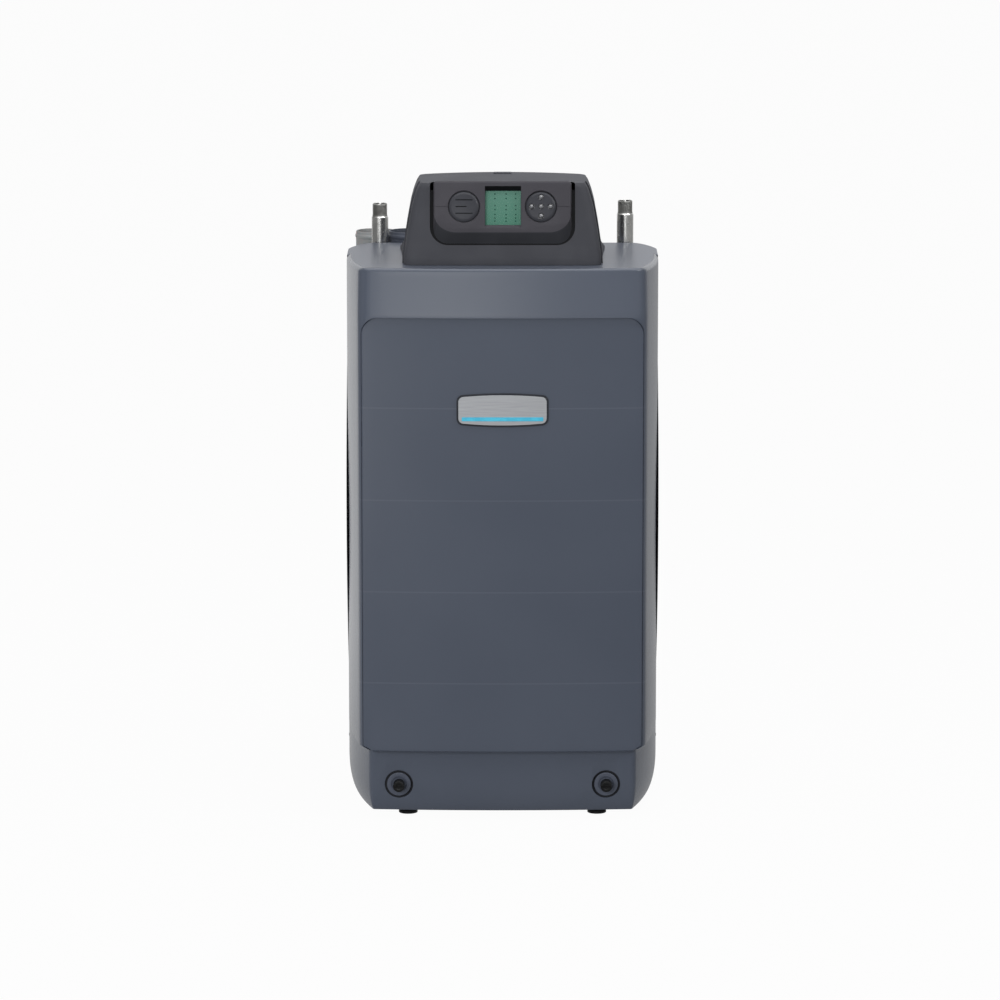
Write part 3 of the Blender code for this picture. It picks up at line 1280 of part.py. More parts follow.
def condensate_parts():
    low = TRAY_FLOOR + SHEET + GAP
    wide = TRAP_RADIUS + CAP_OVERHANG
    top = TRAP_TOP + CAP_HEIGHT
    profile = [(0, top), (wide, top), (wide, TRAP_TOP), (TRAP_RADIUS, TRAP_TOP),
               (TRAP_RADIUS, low + TRAP_CHAMFER), (TRAP_RADIUS - TRAP_CHAMFER, low), (0, low)]
    trap = turned("condensate_trap", profile, (TRAP_X, TRAP_Y, 0), steps=ROUND_STEPS)
    dress(trap, PALE, 0.4)
    z = SUMP_BOTTOM + HOSE_PORT_RISE
    corners = [(TRAP_X, HX_FRONT - GAP, z), (TRAP_X, TRAP_Y, z), (TRAP_X, TRAP_Y, top + GAP)]
    dress(tube("condensate_hose", corners, HOSE_RADIUS, HOSE_BEND), PALE, 0.5)


def control_box():
    low = TOP_Z + GAP
    box = block("control_box", (-BOX_HALF_WIDTH, BOX_FRONT, low),
                (BOX_HALF_WIDTH, BOX_REAR, low + BOX_HEIGHT))
    hollow = block("box_hollow", (-BOX_HALF_WIDTH + SHEET, BOX_FRONT + SHEET, low + SHEET),
                   (BOX_HALF_WIDTH - SHEET, BOX_REAR - SHEET, low + BOX_HEIGHT + OVERRUN), CUTTERS)
    boolean(box, hollow)
    dress(box, ZINC, 0.45, 0.8)
    board_low = low + BOX_BOARD_RISE
    edge = SHEET + GAP
    board = block("control_board", (-BOX_HALF_WIDTH + edge, BOX_FRONT + edge, board_low),
                  (BOX_HALF_WIDTH - edge, BOX_REAR - edge, board_low + BOARD))
    dress(board, BOARD_GREEN, 0.5)


FRAME = face_frame()
front_cover()
front_panel()
badge()
screw_cups()
cover_screws()
top_panel()
side_panels()
side_grips()
rear_shelf()
rear_panel()
base_tray()
feet()
screw_rail()
pod_front_housing()
pod_rear_housing()
display_module()
lcd()
menu_button()
nav_pad()
water_pipes()
grommets()
collars()
cable_gland()
heat_exchanger()
flue_sump()
hx_stand()
blower()
air_duct()
gas_valve()
igniter()
condensate_parts()
control_box()
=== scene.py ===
import bpy
import bmesh
import json
import math
from mathutils import Matrix, Vector

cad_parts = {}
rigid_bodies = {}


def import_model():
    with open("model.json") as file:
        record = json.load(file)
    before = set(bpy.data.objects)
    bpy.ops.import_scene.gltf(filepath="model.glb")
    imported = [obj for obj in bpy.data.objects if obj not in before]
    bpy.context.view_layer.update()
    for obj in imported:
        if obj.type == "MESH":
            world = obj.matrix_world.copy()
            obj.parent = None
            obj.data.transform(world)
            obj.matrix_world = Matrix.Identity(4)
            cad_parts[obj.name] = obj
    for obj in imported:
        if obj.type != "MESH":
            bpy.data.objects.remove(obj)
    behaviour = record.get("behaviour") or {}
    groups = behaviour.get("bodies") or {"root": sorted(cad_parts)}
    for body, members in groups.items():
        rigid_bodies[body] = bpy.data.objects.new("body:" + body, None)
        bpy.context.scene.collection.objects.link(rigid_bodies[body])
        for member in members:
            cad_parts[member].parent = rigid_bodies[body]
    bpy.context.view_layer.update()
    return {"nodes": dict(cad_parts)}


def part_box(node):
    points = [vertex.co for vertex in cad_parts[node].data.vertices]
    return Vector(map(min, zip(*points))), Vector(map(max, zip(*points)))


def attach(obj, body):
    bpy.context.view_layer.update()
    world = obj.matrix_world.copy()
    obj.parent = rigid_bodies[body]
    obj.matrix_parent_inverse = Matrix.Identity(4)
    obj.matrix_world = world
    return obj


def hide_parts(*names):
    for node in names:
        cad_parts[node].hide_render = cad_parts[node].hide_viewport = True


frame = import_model()
print("frame loaded")

scene = bpy.context.scene
scene.view_settings.view_transform = "Standard"

# camera: far off, a little above, as in the photograph
view = dict(place=(0, -8.212, 1.898), pitch=10.4, lens=186.8, sensor=36, shift=(-0.0025, 0.0522), farthest=100)


def buildCamera():
    camera = bpy.data.cameras.new("studioCamera")
    camera.lens = view["lens"]
    camera.sensor_width = view["sensor"]
    camera.shift_x, camera.shift_y = view["shift"]
    camera.clip_end = view["farthest"]
    eye = bpy.data.objects.new("studioCamera", camera)
    scene.collection.objects.link(eye)
    eye.location = view["place"]
    eye.rotation_euler = (math.radians(90 - view["pitch"]), 0, 0)
    scene.camera = eye


def srgb(code):
    parts = [int(code[i:i + 2], 16) / 255 for i in (0, 2, 4)]
    return tuple(c / 12.92 if c <= 0.04045 else ((c + 0.055) / 1.055) ** 2.4 for c in parts) + (1,)


def addNode(tree, kind, values=None, links=None, **settings):
    node = tree.nodes.new(kind)
    for key, value in settings.items():
        setattr(node, key, value)
    for socket, value in (values or {}).items():
        node.inputs[socket].default_value = value
    for socket, source in (links or {}).items():
        tree.links.new(source, node.inputs[socket])
    return node


# studio: white surround for camera, gloss and glass, a plain level for the rest
studio = dict(fill=0.30, aim=(0, 0, 0.6), reach=30, paper="bcbcbc", glow=0.965,
              frontGlow=0.30, frontFrom=-1.2, frontTo=1.2, rightGlow=0.55, rightFrom=0.1, rightTo=0.6,
              # soft boxes: place, size, power, whether mirror rays meet them
              lamps=(("keySoftbox", (-2.5, -5.2, 1.8), (2.2, 2.2), 122, False),
                     ("leftSoftbox", (-4.4, -1.4, 1.3), (2.0, 3.0), 40, False),
                     ("rightSoftbox", (4.2, 0.6, 1.3), (1.8, 2.6), 12, False),
                     ("frontSoftbox", (-0.55, -5.0, 1.95), (1.3, 1.0), 30, True),
                     ("lowSoftbox", (-1.25, -3.0, 0.24), (1.3, 0.5), 6, True),
                     ("pipeSoftbox", (0.34, -3.2, 0.70), (1.3, 0.2), 2.4, True),
                     ("shoulderSoftbox", (3.1, -1.3, 2.2), (0.9, 0.9), 24, False),
                     ("topSoftbox", (0.45, -0.9, 4.3), (2.2, 1.4), 50, False)),
              # cards that only mirror rays meet: place, the way they face, size, brightness
              cards=(("greyCard", (-2.7, -0.45, 0.9), (1, 0, 0), (6.0, 3.4), 0.30),
                     ("ceilingCard", (0.45, -0.55, 3.2), (0, 0, -1), (4.0, 3.9), 4.6),
                     ("rightCard", (3.0, -0.6, 0.9), (-1, 0, 0), (4.4, 3.4), 0.42),
                     ("shoulderCard", (2.4, -1.5, 2.55), (-0.78, 0.48, -0.45), (1.1, 0.9), 12.0)))


# 1 for rays that should meet plain white: camera, mirror and glass rays
def backdropRays(tree):
    path = addNode(tree, "ShaderNodeLightPath")
    seen = addNode(tree, "ShaderNodeMath", operation="MAXIMUM",
                   links={0: path.outputs["Is Camera Ray"], 1: path.outputs["Is Glossy Ray"]})
    return addNode(tree, "ShaderNodeMath", operation="MAXIMUM",
                   links={0: seen.outputs[0], 1: path.outputs["Is Transmission Ray"]}).outputs[0]


def bareMaterial(name):
    material = bpy.data.materials.new(name)
    material.use_nodes = True
    material.node_tree.nodes.clear()
    return material, material.node_tree


# a flat rectangle of the studio; corners run round it
def studioSheet(name, corners, material):
    mesh = bpy.data.meshes.new(name)
    mesh.from_pydata(corners, [], [(0, 1, 2, 3)])
    mesh.materials.append(material)
    sheet = bpy.data.objects.new(name, mesh)
    scene.collection.objects.link(sheet)
    return sheet


def lightWorld():
    world = bpy.data.worlds.new("studio")
    scene.world = world
    world.use_nodes = True
    tree = world.node_tree
    tree.nodes.clear()
    level = addNode(tree, "ShaderNodeMapRange", values={"To Min": studio["fill"], "To Max": 1.0},
                    links={"Value": backdropRays(tree)})
    glow = addNode(tree, "ShaderNodeBackground", values={"Color": srgb("ffffff")},
                   links={"Strength": level.outputs["Result"]})
    addNode(tree, "ShaderNodeOutputWorld", links={"Surface": glow.outputs["Background"]})


def hangLamps():
    for name, place, size, power, mirrored in studio["lamps"]:
        lamp = bpy.data.lights.new(name, "AREA")
        lamp.shape = "RECTANGLE"
        lamp.size, lamp.size_y = size
        lamp.energy = power
        holder = bpy.data.objects.new(name, lamp)
        scene.collection.objects.link(holder)
        holder.location = place
        holder.rotation_euler = (Vector(studio["aim"]) - Vector(place)).to_track_quat("-Z", "Y").to_euler()
        holder.visible_camera = False
        holder.visible_glossy = mirrored


def standCards():
    for name, place, facing, size, level in studio["cards"]:
        felt, tree = bareMaterial(name)
        glow = addNode(tree, "ShaderNodeEmission", values={"Color": srgb("ffffff"), "Strength": level})
        addNode(tree, "ShaderNodeOutputMaterial", links={"Surface": glow.outputs[0]})
        turn = Vector(facing).to_track_quat("Z", "Y").to_matrix()
        corners = [Vector(place) + turn @ Vector((size[0] / 2 * i, size[1] / 2 * j, 0))
                   for i, j in ((-1, -1), (1, -1), (1, 1), (-1, 1))]
        card = studioSheet(name, corners, felt)
        card.visible_camera = card.visible_diffuse = card.visible_shadow = card.visible_transmission = False


# floor paper: for mirror rays it falls off towards the front and the right, as behind a lit sweep
def layPaper():
    paper, tree = bareMaterial("white backdrop paper")
    matt = addNode(tree, "ShaderNodeBsdfDiffuse", values={"Color": srgb(studio["paper"])})
    path = addNode(tree, "ShaderNodeLightPath")
    straight = addNode(tree, "ShaderNodeMath", operation="MAXIMUM",
                       links={0: path.outputs["Is Camera Ray"], 1: path.outputs["Is Transmission Ray"]})
    spot = addNode(tree, "ShaderNodeSeparateXYZ",
                   links={"Vector": addNode(tree, "ShaderNodeTexCoord").outputs["Object"]})
    ahead = addNode(tree, "ShaderNodeMapRange", links={"Value": spot.outputs["Y"]},
                    values={"From Min": studio["frontFrom"], "From Max": studio["frontTo"],
                            "To Min": studio["frontGlow"], "To Max": 1.0})
    aside = addNode(tree, "ShaderNodeMapRange", links={"Value": spot.outputs["X"]},
                    values={"From Min": studio["rightFrom"], "From Max": studio["rightTo"],
                            "To Min": 1.0, "To Max": studio["rightGlow"]})
    mirrored = addNode(tree, "ShaderNodeMath", operation="MULTIPLY",
                       links={0: ahead.outputs["Result"], 1: aside.outputs["Result"]})
    glow = addNode(tree, "ShaderNodeMath", operation="MAXIMUM",
                   links={0: straight.outputs[0], 1: mirrored.outputs[0]})
    white = addNode(tree, "ShaderNodeEmission", values={"Color": srgb("ffffff")},
                    links={"Strength": glow.outputs[0]})
    share = addNode(tree, "ShaderNodeMapRange", values={"To Min": 0.0, "To Max": studio["glow"]},
                    links={"Value": backdropRays(tree)})
    both = addNode(tree, "ShaderNodeMixShader",
                   links={0: share.outputs["Result"], 1: matt.outputs[0], 2: white.outputs[0]})
    addNode(tree, "ShaderNodeOutputMaterial", links={"Surface": both.outputs[0]})
    far = studio["reach"]
    studioSheet("studioFloor", [(-far, -far, 0), (far, -far, 0), (far, far, 0), (-far, far, 0)], paper)


buildCamera()
lightWorld()
hangLamps()
standCards()
layPaper()
print("camera and studio ready")


# materials: the shader's own sockets carry what is the same all over
def newMaterial(name, colour, roughness, metallic=0.0, **sockets):
    material = bpy.data.materials.new(name)
    material.use_nodes = True
    tree = material.node_tree
    shader = tree.nodes["Principled BSDF"]
    shader.inputs["Base Color"].default_value = srgb(colour)
    shader.inputs["Roughness"].default_value = roughness
    shader.inputs["Metallic"].default_value = metallic
    for key, value in sockets.items():
        shader.inputs[key.replace("_", " ")].default_value = value
    return material, tree, shader, addNode(tree, "ShaderNodeTexCoord").outputs["Object"]


# broad drift between two close colours, as a moulding or a coat has
def driftColour(tree, shader, place, low, high, size, detail=2.0, span=(0.35, 0.65)):
    noise = addNode(tree, "ShaderNodeTexNoise", values={"Scale": 1 / size, "Detail": detail},
                    links={"Vector": place})
    ramp = addNode(tree, "ShaderNodeValToRGB", links={"Fac": noise.outputs["Fac"]})
    ramp.color_ramp.interpolation = "EASE"
    for stop, position, colour in zip(ramp.color_ramp.elements, span, (low, high)):
        stop.position, stop.color = position, srgb(colour)
    tree.links.new(ramp.outputs["Color"], shader.inputs["Base Color"])
    return ramp.outputs["Color"]


# fine relief: grain of one size in metres, and how deep it is
def grainBump(tree, shader, place, size, depth, strength, detail=2.0):
    noise = addNode(tree, "ShaderNodeTexNoise", values={"Scale": 1 / size, "Detail": detail},
                    links={"Vector": place})
    bump = addNode(tree, "ShaderNodeBump", values={"Strength": strength, "Distance": depth},
                   links={"Height": noise.outputs["Fac"]})
    tree.links.new(bump.outputs["Normal"], shader.inputs["Normal"])


# the noise stays well inside the span, so the drift has no flat patches
def driftRoughness(tree, shader, place, size, low, high):
    noise = addNode(tree, "ShaderNodeTexNoise", values={"Scale": 1 / size, "Detail": 3.0}, links={"Vector": place})
    spread = addNode(tree, "ShaderNodeMapRange", links={"Value": noise.outputs["Fac"]},
                     values={"From Min": 0.1, "From Max": 0.9, "To Min": low, "To Max": high})
    tree.links.new(spread.outputs["Result"], shader.inputs["Roughness"])


# a finish that drifts between two colours: drift is (low, high, size) and grain (size, depth, strength),
# each with the noise's detail after it where that isn't 2; wear is (size, low, high) of the roughness
def driftingFinish(name, colour, roughness, drift, grain=None, wear=None, metallic=0.0, **sockets):
    material, tree, shader, place = newMaterial(name, colour, roughness, metallic, **sockets)
    driftColour(tree, shader, place, *drift)
    if wear:
        driftRoughness(tree, shader, place, *wear)
    if grain:
        grainBump(tree, shader, place, *grain)
    return material


# ABS, injection moulded with a fine spark texture: even satin slate, with faint painted
# highlight lines where sink lines over the ribs behind it catch the light, 146 mm apart
sinkLineHighlights = dict(first=0.223, pitch=0.1457, half=0.0016, low=0.15, high=0.75, strength=0.10, colour="8a8f9c")


def slateAbs(name, low, high, roughness, lined):
    material, tree, shader, place = newMaterial(name, low, roughness, Specular_IOR_Level=0.26)
    colour = driftColour(tree, shader, place, low, high, 0.2, span=(0.2, 0.8))
    if lined:
        parts = addNode(tree, "ShaderNodeSeparateXYZ", links={"Vector": place})
        shifted = addNode(tree, "ShaderNodeMath", values={1: sinkLineHighlights["first"] - sinkLineHighlights["pitch"] / 2},
                          links={0: parts.outputs["Z"]}, operation="SUBTRACT")
        wrapped = addNode(tree, "ShaderNodeMath", values={1: sinkLineHighlights["pitch"]}, links={0: shifted.outputs[0]},
                          operation="FLOORED_MODULO")
        off = addNode(tree, "ShaderNodeMath", values={1: sinkLineHighlights["pitch"] / 2}, links={0: wrapped.outputs[0]},
                      operation="SUBTRACT")
        far = addNode(tree, "ShaderNodeMath", links={0: off.outputs[0]}, operation="ABSOLUTE")
        near = addNode(tree, "ShaderNodeMapRange", links={"Value": far.outputs[0]},
                       values={"From Min": 0.0, "From Max": sinkLineHighlights["half"], "To Min": 1.0, "To Max": 0.0},
                       interpolation_type="SMOOTHSTEP")
        above = addNode(tree, "ShaderNodeMath", values={1: sinkLineHighlights["low"]}, links={0: parts.outputs["Z"]},
                        operation="GREATER_THAN")
        below = addNode(tree, "ShaderNodeMath", values={1: sinkLineHighlights["high"]}, links={0: parts.outputs["Z"]},
                        operation="LESS_THAN")
        kept = addNode(tree, "ShaderNodeMath", links={0: above.outputs[0], 1: below.outputs[0]},
                       operation="MULTIPLY")
        line = addNode(tree, "ShaderNodeMath", links={0: near.outputs["Result"], 1: kept.outputs[0]},
                       operation="MULTIPLY")
        share = addNode(tree, "ShaderNodeMath", values={1: sinkLineHighlights["strength"]}, links={0: line.outputs[0]},
                        operation="MULTIPLY")
        # each line mixes a lighter colour into the slate: a painted highlight
        mix = addNode(tree, "ShaderNodeMix", data_type="RGBA", links={0: share.outputs[0], 6: colour})
        mix.inputs[7].default_value = srgb(sinkLineHighlights["colour"])
        tree.links.new(mix.outputs[2], shader.inputs["Base Color"])
    driftRoughness(tree, shader, place, 0.20, roughness - 0.01, roughness + 0.01)
    # the real grain is near 0.3 mm; drawn at 1.4 mm so that it shows
    grainBump(tree, shader, place, 0.0014, 0.00005, 0.5)
    return material


coverAbs = slateAbs("slate ABS cover moulding", "484e5a", "4b515d", 0.26, True)
panelAbs = slateAbs("slate ABS front panel moulding", "474d59", "4a505c", 0.28, True)
cupAbs = slateAbs("slate ABS cup moulding", "474c58", "4b505c", 0.36, False)
collarAbs = slateAbs("slate ABS air collar moulding", "40444f", "454a55", 0.45, False)


# polyester powder coat on steel, satin with a soft orange peel of 2 to 3 mm
def powderCoat(name, low, high, roughness):
    return driftingFinish(name, low, roughness, (low, high, 0.12), (0.0024, 0.00004, 0.6, 1.0),
                          Specular_IOR_Level=0.2)


topPaint = powderCoat("slate powder coat", "4b505c", "4e535f", 0.36)
blackPaint = powderCoat("black powder coat", "17171a", "1c1c1f", 0.42)


# ABS with an etched grain near 0.5 mm, drawn at 1.1 mm so that it shows: the control pod
def charcoalAbs(name, low, high, roughness):
    return driftingFinish(name, low, roughness, (low, high, 0.06), (0.0011, 0.00006, 0.6),
                          (0.03, roughness - 0.03, roughness + 0.05), Specular_IOR_Level=0.09)


podAbs = charcoalAbs("charcoal ABS pod moulding", "3b3c41", "3f4045", 0.60)
moduleAbs = charcoalAbs("charcoal ABS display moulding", "3d3c41", "414045", 0.52)
keyAbs = charcoalAbs("charcoal ABS key moulding", "37383d", "3b3c41", 0.28)
# darker ABS for the module's chin: painted shade on the faces turned down and forward
chinShadeAbs = charcoalAbs("dark ABS chin", "2a2b2f", "2e2f33", 0.60)
# near-black ABS used as painted shade on the screen's brow and on the flange in the module's gap
shadeBlackAbs = charcoalAbs("black ABS well and flange", "0a0b0d", "0e0f11", 0.55)
markAbs = charcoalAbs("recessed key mark", "16181b", "1b1d20", 0.5)
# dark ABS: the badge's own rim colour, and painted shade in the rings round the cups
rimAndShadeAbs = charcoalAbs("dark badge rim", "2c2e33", "313338", 0.4)

# glass filled nylon, moulded: near black, slightly rough
nylon = driftingFinish("black nylon moulding", "0b0c0d", 0.45, ("0b0c0d", "131415", 0.02),
                       (0.0012, 0.00008, 0.7), Specular_IOR_Level=0.16)

# polished ABS domes: small sharp highlights
domeGloss = driftingFinish("polished key dome", "5c5d60", 0.16, ("55565a", "636468", 0.004),
                           Coat_Weight=0.6, Coat_Roughness=0.05)

# screen printed ink, plain cyan
stripeInk = driftingFinish("cyan printed ink", "3fadcb", 0.40, ("3ba9c8", "45b4d1", 0.01), (0.0006, 0.00002, 0.4))

# EPDM rubber, moulded: deep black, dull, dusty in the high spots
rubber = driftingFinish("EPDM rubber", "161617", 0.72, ("141415", "1f1f20", 0.01, 4.0), (0.0009, 0.00010, 0.6))

# glazed alumina insulator: warm white under a clear gloss
ceramic = driftingFinish("glazed alumina", "dcd9cf", 0.22, ("d6d3c8", "e4e1d8", 0.006), Coat_Weight=0.5)


# polypropylene flue parts, moulded: pale grey with a waxy skin
def polypropylene(name, low, high, roughness):
    return driftingFinish(name, low, roughness, (low, high, 0.03), (0.0018, 0.00005, 0.5), Subsurface_Weight=0.05)


greyPp = polypropylene("grey polypropylene", "777a7b", "818485", 0.48)
whitePp = polypropylene("white polypropylene", "c9cac8", "d3d4d2", 0.42)


# metals: turned steel has fine rings, castings a sandy skin, copper a warm drift
def plainMetal(name, low, high, roughness, grain, depth):
    return driftingFinish(name, low, roughness, (low, high, 0.02), (grain, depth, 0.6),
                          (0.01, roughness - 0.06, roughness + 0.08), 1.0)


pipeSteel = plainMetal("drawn steel pipe", "b4b4b2", "c2c2c0", 0.24, 0.0015, 0.00003)
threadSteel = plainMetal("cut steel thread", "666664", "747472", 0.42, 0.0010, 0.00004)
castAlloy = plainMetal("sand cast aluminium", "8f9193", "a3a5a6", 0.55, 0.0022, 0.00020)
plateAlloy = plainMetal("milled aluminium", "a4a6a8", "b2b4b5", 0.36, 0.0030, 0.00002)
copper = plainMetal("half hard copper tube", "a5694a", "b9805f", 0.30, 0.0040, 0.00003)
brass = plainMetal("turned brass", "a88c52", "b99d63", 0.30, 0.0012, 0.00003)
screwZinc = plainMetal("zinc plated screw", "96999b", "aaadaf", 0.34, 0.0010, 0.00003)


# aluminium badge, brushed along its length: streaks 0.7 mm wide and 40 mm long
def brushedBadge():
    material, tree, shader, place = newMaterial("brushed aluminium badge", "9b9da0", 0.42, 0.5)
    stretch = addNode(tree, "ShaderNodeMapping", values={"Scale": (25, 300, 1500)}, links={"Vector": place})
    streak = addNode(tree, "ShaderNodeTexNoise", values={"Scale": 1.0, "Detail": 3.0},
                     links={"Vector": stretch.outputs[0]})
    ramp = addNode(tree, "ShaderNodeValToRGB", links={"Fac": streak.outputs["Fac"]})
    for stop, position, colour in zip(ramp.color_ramp.elements, (0.3, 0.7), ("94969a", "a6a8ab")):
        stop.position, stop.color = position, srgb(colour)
    tree.links.new(ramp.outputs["Color"], shader.inputs["Base Color"])
    bump = addNode(tree, "ShaderNodeBump", values={"Strength": 0.35, "Distance": 0.00003},
                   links={"Height": streak.outputs["Fac"]})
    tree.links.new(bump.outputs["Normal"], shader.inputs["Normal"])
    return material


# cast acrylic window, anti-glare coated: light passes straight to the cell, a weak soft gloss stays
def acrylic():
    material, tree, shader, place = newMaterial("clear acrylic window", "0c1210", 0.12, Specular_IOR_Level=0.3,
                                                Alpha=0.10)
    grainBump(tree, shader, place, 0.02, 0.00002, 0.2)
    return material


# reflective twisted nematic liquid crystal cell, unlit: grey green, a little
# lighter at the top, with rows of small dark segments that spell nothing
screen = dict(low="568c79", high="6d9c8b", dot="2c5447", columns=(-0.0118, 0.0056, 0.0205), halfWidth=0.0011,
              rows=(0.0282, 0.0210, 0.0101, 0.0038, -0.0040, -0.0095, -0.0143), halfHeight=0.0010,
              middle=0.9595, slant=0.975, fadeLow=0.93, fadeHigh=1.0)


def crystalCell():
    material, tree, shader, place = newMaterial("liquid crystal cell", screen["low"], 0.5, Specular_IOR_Level=0.0)
    parts = addNode(tree, "ShaderNodeSeparateXYZ", links={"Vector": place})
    climb = addNode(tree, "ShaderNodeMapRange", links={"Value": parts.outputs["Z"]},
                    values={"From Min": screen["fadeLow"], "From Max": screen["fadeHigh"]})
    ramp = addNode(tree, "ShaderNodeValToRGB", links={"Fac": climb.outputs["Result"]})
    for stop, colour in zip(ramp.color_ramp.elements, (screen["low"], screen["high"])):
        stop.color = srgb(colour)

    def spots(source, centres, half):
        total = None
        for centre in centres:
            hit = addNode(tree, "ShaderNodeMath", values={1: centre, 2: half}, links={0: source},
                          operation="COMPARE")
            total = hit if total is None else addNode(tree, "ShaderNodeMath", operation="ADD",
                                                      links={0: total.outputs[0], 1: hit.outputs[0]})
        return total.outputs[0]
    across = spots(parts.outputs["X"], screen["columns"], screen["halfWidth"])
    heights = [screen["middle"] + screen["slant"] * row for row in screen["rows"]]
    up = spots(parts.outputs["Z"], heights, screen["halfHeight"])
    share = addNode(tree, "ShaderNodeMath", links={0: across, 1: up}, operation="MULTIPLY")
    mix = addNode(tree, "ShaderNodeMix", data_type="RGBA", links={0: share.outputs[0], 6: ramp.outputs["Color"]})
    mix.inputs[7].default_value = srgb(screen["dot"])
    tree.links.new(mix.outputs[2], shader.inputs["Base Color"])
    return material


# hot dip galvanised sheet: pale grey with spangle a few millimetres wide
def galvanised():
    material, tree, shader, place = newMaterial("galvanised sheet", "a9adb0", 0.42, 0.9)
    spangle = addNode(tree, "ShaderNodeTexVoronoi", values={"Scale": 140.0}, links={"Vector": place})
    grey = addNode(tree, "ShaderNodeRGBToBW", links={"Color": spangle.outputs["Color"]})
    ramp = addNode(tree, "ShaderNodeValToRGB", links={"Fac": grey.outputs[0]})
    for stop, colour in zip(ramp.color_ramp.elements, ("989c9f", "b4b8ba")):
        stop.color = srgb(colour)
    tree.links.new(ramp.outputs["Color"], shader.inputs["Base Color"])
    spread = addNode(tree, "ShaderNodeMapRange", values={"To Min": 0.34, "To Max": 0.5},
                     links={"Value": grey.outputs[0]})
    tree.links.new(spread.outputs["Result"], shader.inputs["Roughness"])
    return material


# FR4 board with a green solder mask, tracks show as a paler weave
def solderMask():
    material, tree, shader, place = newMaterial("green solder mask", "14482b", 0.35)
    tracks = addNode(tree, "ShaderNodeTexBrick", links={"Vector": place},
                     values={"Scale": 160.0, "Mortar Size": 0.03, "Color1": srgb("14482b"),
                             "Color2": srgb("185232"), "Mortar": srgb("2a7048")})
    tree.links.new(tracks.outputs["Color"], shader.inputs["Base Color"])
    return material


badgeMetal = brushedBadge()
windowAcrylic = acrylic()
cellGlass = crystalCell()
zinc = galvanised()
boardGreen = solderMask()
print("materials ready")


# helpers that make meshes
mergeWithin = 1e-6


def unit(value):
    return min(max(value, 0), 1)


def ease(share):
    return share * share * (3 - 2 * share)


def meshPiece(name, bm, *materials):
    mesh = bpy.data.meshes.new(name)
    bm.to_mesh(mesh)
    bm.free()
    for material in materials:
        mesh.materials.append(material)
    piece = bpy.data.objects.new(name, mesh)
    scene.collection.objects.link(piece)
    return piece


def shadeSmooth(piece, angle=32):
    piece.data.shade_smooth()
    piece.data.set_sharp_from_angle(angle=math.radians(angle))
    return piece


# skin over rings of points, each row joined to the next
def loftMesh(rings, capFirst=False, capLast=False, closed=False):
    bm = bmesh.new()
    rows = [[bm.verts.new(point) for point in ring] for ring in rings]
    for low, high in zip(rows, rows[1:]):
        count = len(low)
        for i in range(count if closed else count - 1):
            j = (i + 1) % count
            bm.faces.new((low[i], low[j], high[j], high[i]))
    if capFirst:
        bm.faces.new(list(reversed(rows[0])))
    if capLast:
        bm.faces.new(rows[-1])
    bmesh.ops.remove_doubles(bm, verts=bm.verts, dist=mergeWithin)
    bmesh.ops.dissolve_degenerate(bm, dist=mergeWithin, edges=bm.edges)
    bmesh.ops.recalc_face_normals(bm, faces=bm.faces)
    return bm


# round the corners of a lathe profile: each corner is (radius, height, rounding)
def roundedProfile(corners, steps=4, closed=True):
    points = []
    count = len(corners)
    for i, (r, h, fillet) in enumerate(corners):
        here = Vector((r, h))
        if fillet <= 0 or (not closed and i in (0, count - 1)):
            points.append(here)
            continue
        before = Vector(corners[i - 1][:2])
        after = Vector(corners[(i + 1) % count][:2])
        back, ahead = (before - here).normalized(), (after - here).normalized()
        reach = min(fillet, (before - here).length * 0.49, (after - here).length * 0.49)
        first, last = here + back * reach, here + ahead * reach
        for step in range(steps + 1):
            t = step / steps
            points.append(first.lerp(here, t).lerp(here.lerp(last, t), t))
    return points


# turn a profile about an axis through place; closed profiles make rings
def latheMesh(corners, place, axis=(0, 0, 1), steps=64, closed=True, fillets=4):
    profile = roundedProfile(corners, fillets, closed)
    turn = Vector(axis).to_track_quat("Z", "Y").to_matrix()
    rings = []
    for i in range(steps):
        angle = math.tau * i / steps
        ring = [Vector(place) + turn @ Vector((p.x * math.cos(angle), p.x * math.sin(angle), p.y))
                for p in profile]
        rings.append(ring + ([ring[0]] if closed else []))
    rings.append(rings[0])
    return loftMesh(rings)


# a round cutter along an axis, from one height above place to another
def drillBit(radius, first, last, place, axis=(0, 0, 1), steps=64):
    corners = [(0, first, 0), (radius, first, 0), (radius, last, 0), (0, last, 0)]
    return meshPiece("cutter", latheMesh(corners, place, axis, steps, False))


def boxMesh(low, high):
    bm = bmesh.new()
    size, middle = Vector(high) - Vector(low), (Vector(high) + Vector(low)) / 2
    bmesh.ops.create_cube(bm, size=1, matrix=Matrix.Translation(middle) @ Matrix.Diagonal((*size, 1)))
    return bm


# a closed outline in a plane, given thickness: plane is an origin and two directions
def slabMesh(outline, origin, across, up, thickness):
    across, up = Vector(across), Vector(up)
    out = across.cross(up)
    rings = [[Vector(origin) + across * x + up * y + out * depth for x, y in outline]
             for depth in (0, thickness)]
    bm = loftMesh(rings, True, True, True)
    bmesh.ops.recalc_face_normals(bm, faces=bm.faces)
    return bm


def roundedOutline(halfWidth, halfHeight, radius, steps=6, centre=(0, 0)):
    points = []
    for sx, sy, start in ((1, -1, -90), (1, 1, 0), (-1, 1, 90), (-1, -1, 180)):
        for i in range(steps + 1):
            angle = math.radians(start + 90 * i / steps)
            points.append((centre[0] + sx * (halfWidth - radius) + radius * math.cos(angle),
                           centre[1] + sy * (halfHeight - radius) + radius * math.sin(angle)))
    return points


def hexagonOutline(radius, x=0, y=0):
    return [(x + radius * math.cos(math.tau * i / 6), y + radius * math.sin(math.tau * i / 6)) for i in range(6)]


def joinMeshes(name, parts, *materials):
    total = bmesh.new()
    for part in parts:
        lookup = {vert: total.verts.new(vert.co) for vert in part.verts}
        for face in part.faces:
            try:
                total.faces.new([lookup[vert] for vert in face.verts])
            except ValueError:  # the same face is there already
                continue
        part.free()
    return meshPiece(name, total, *materials)


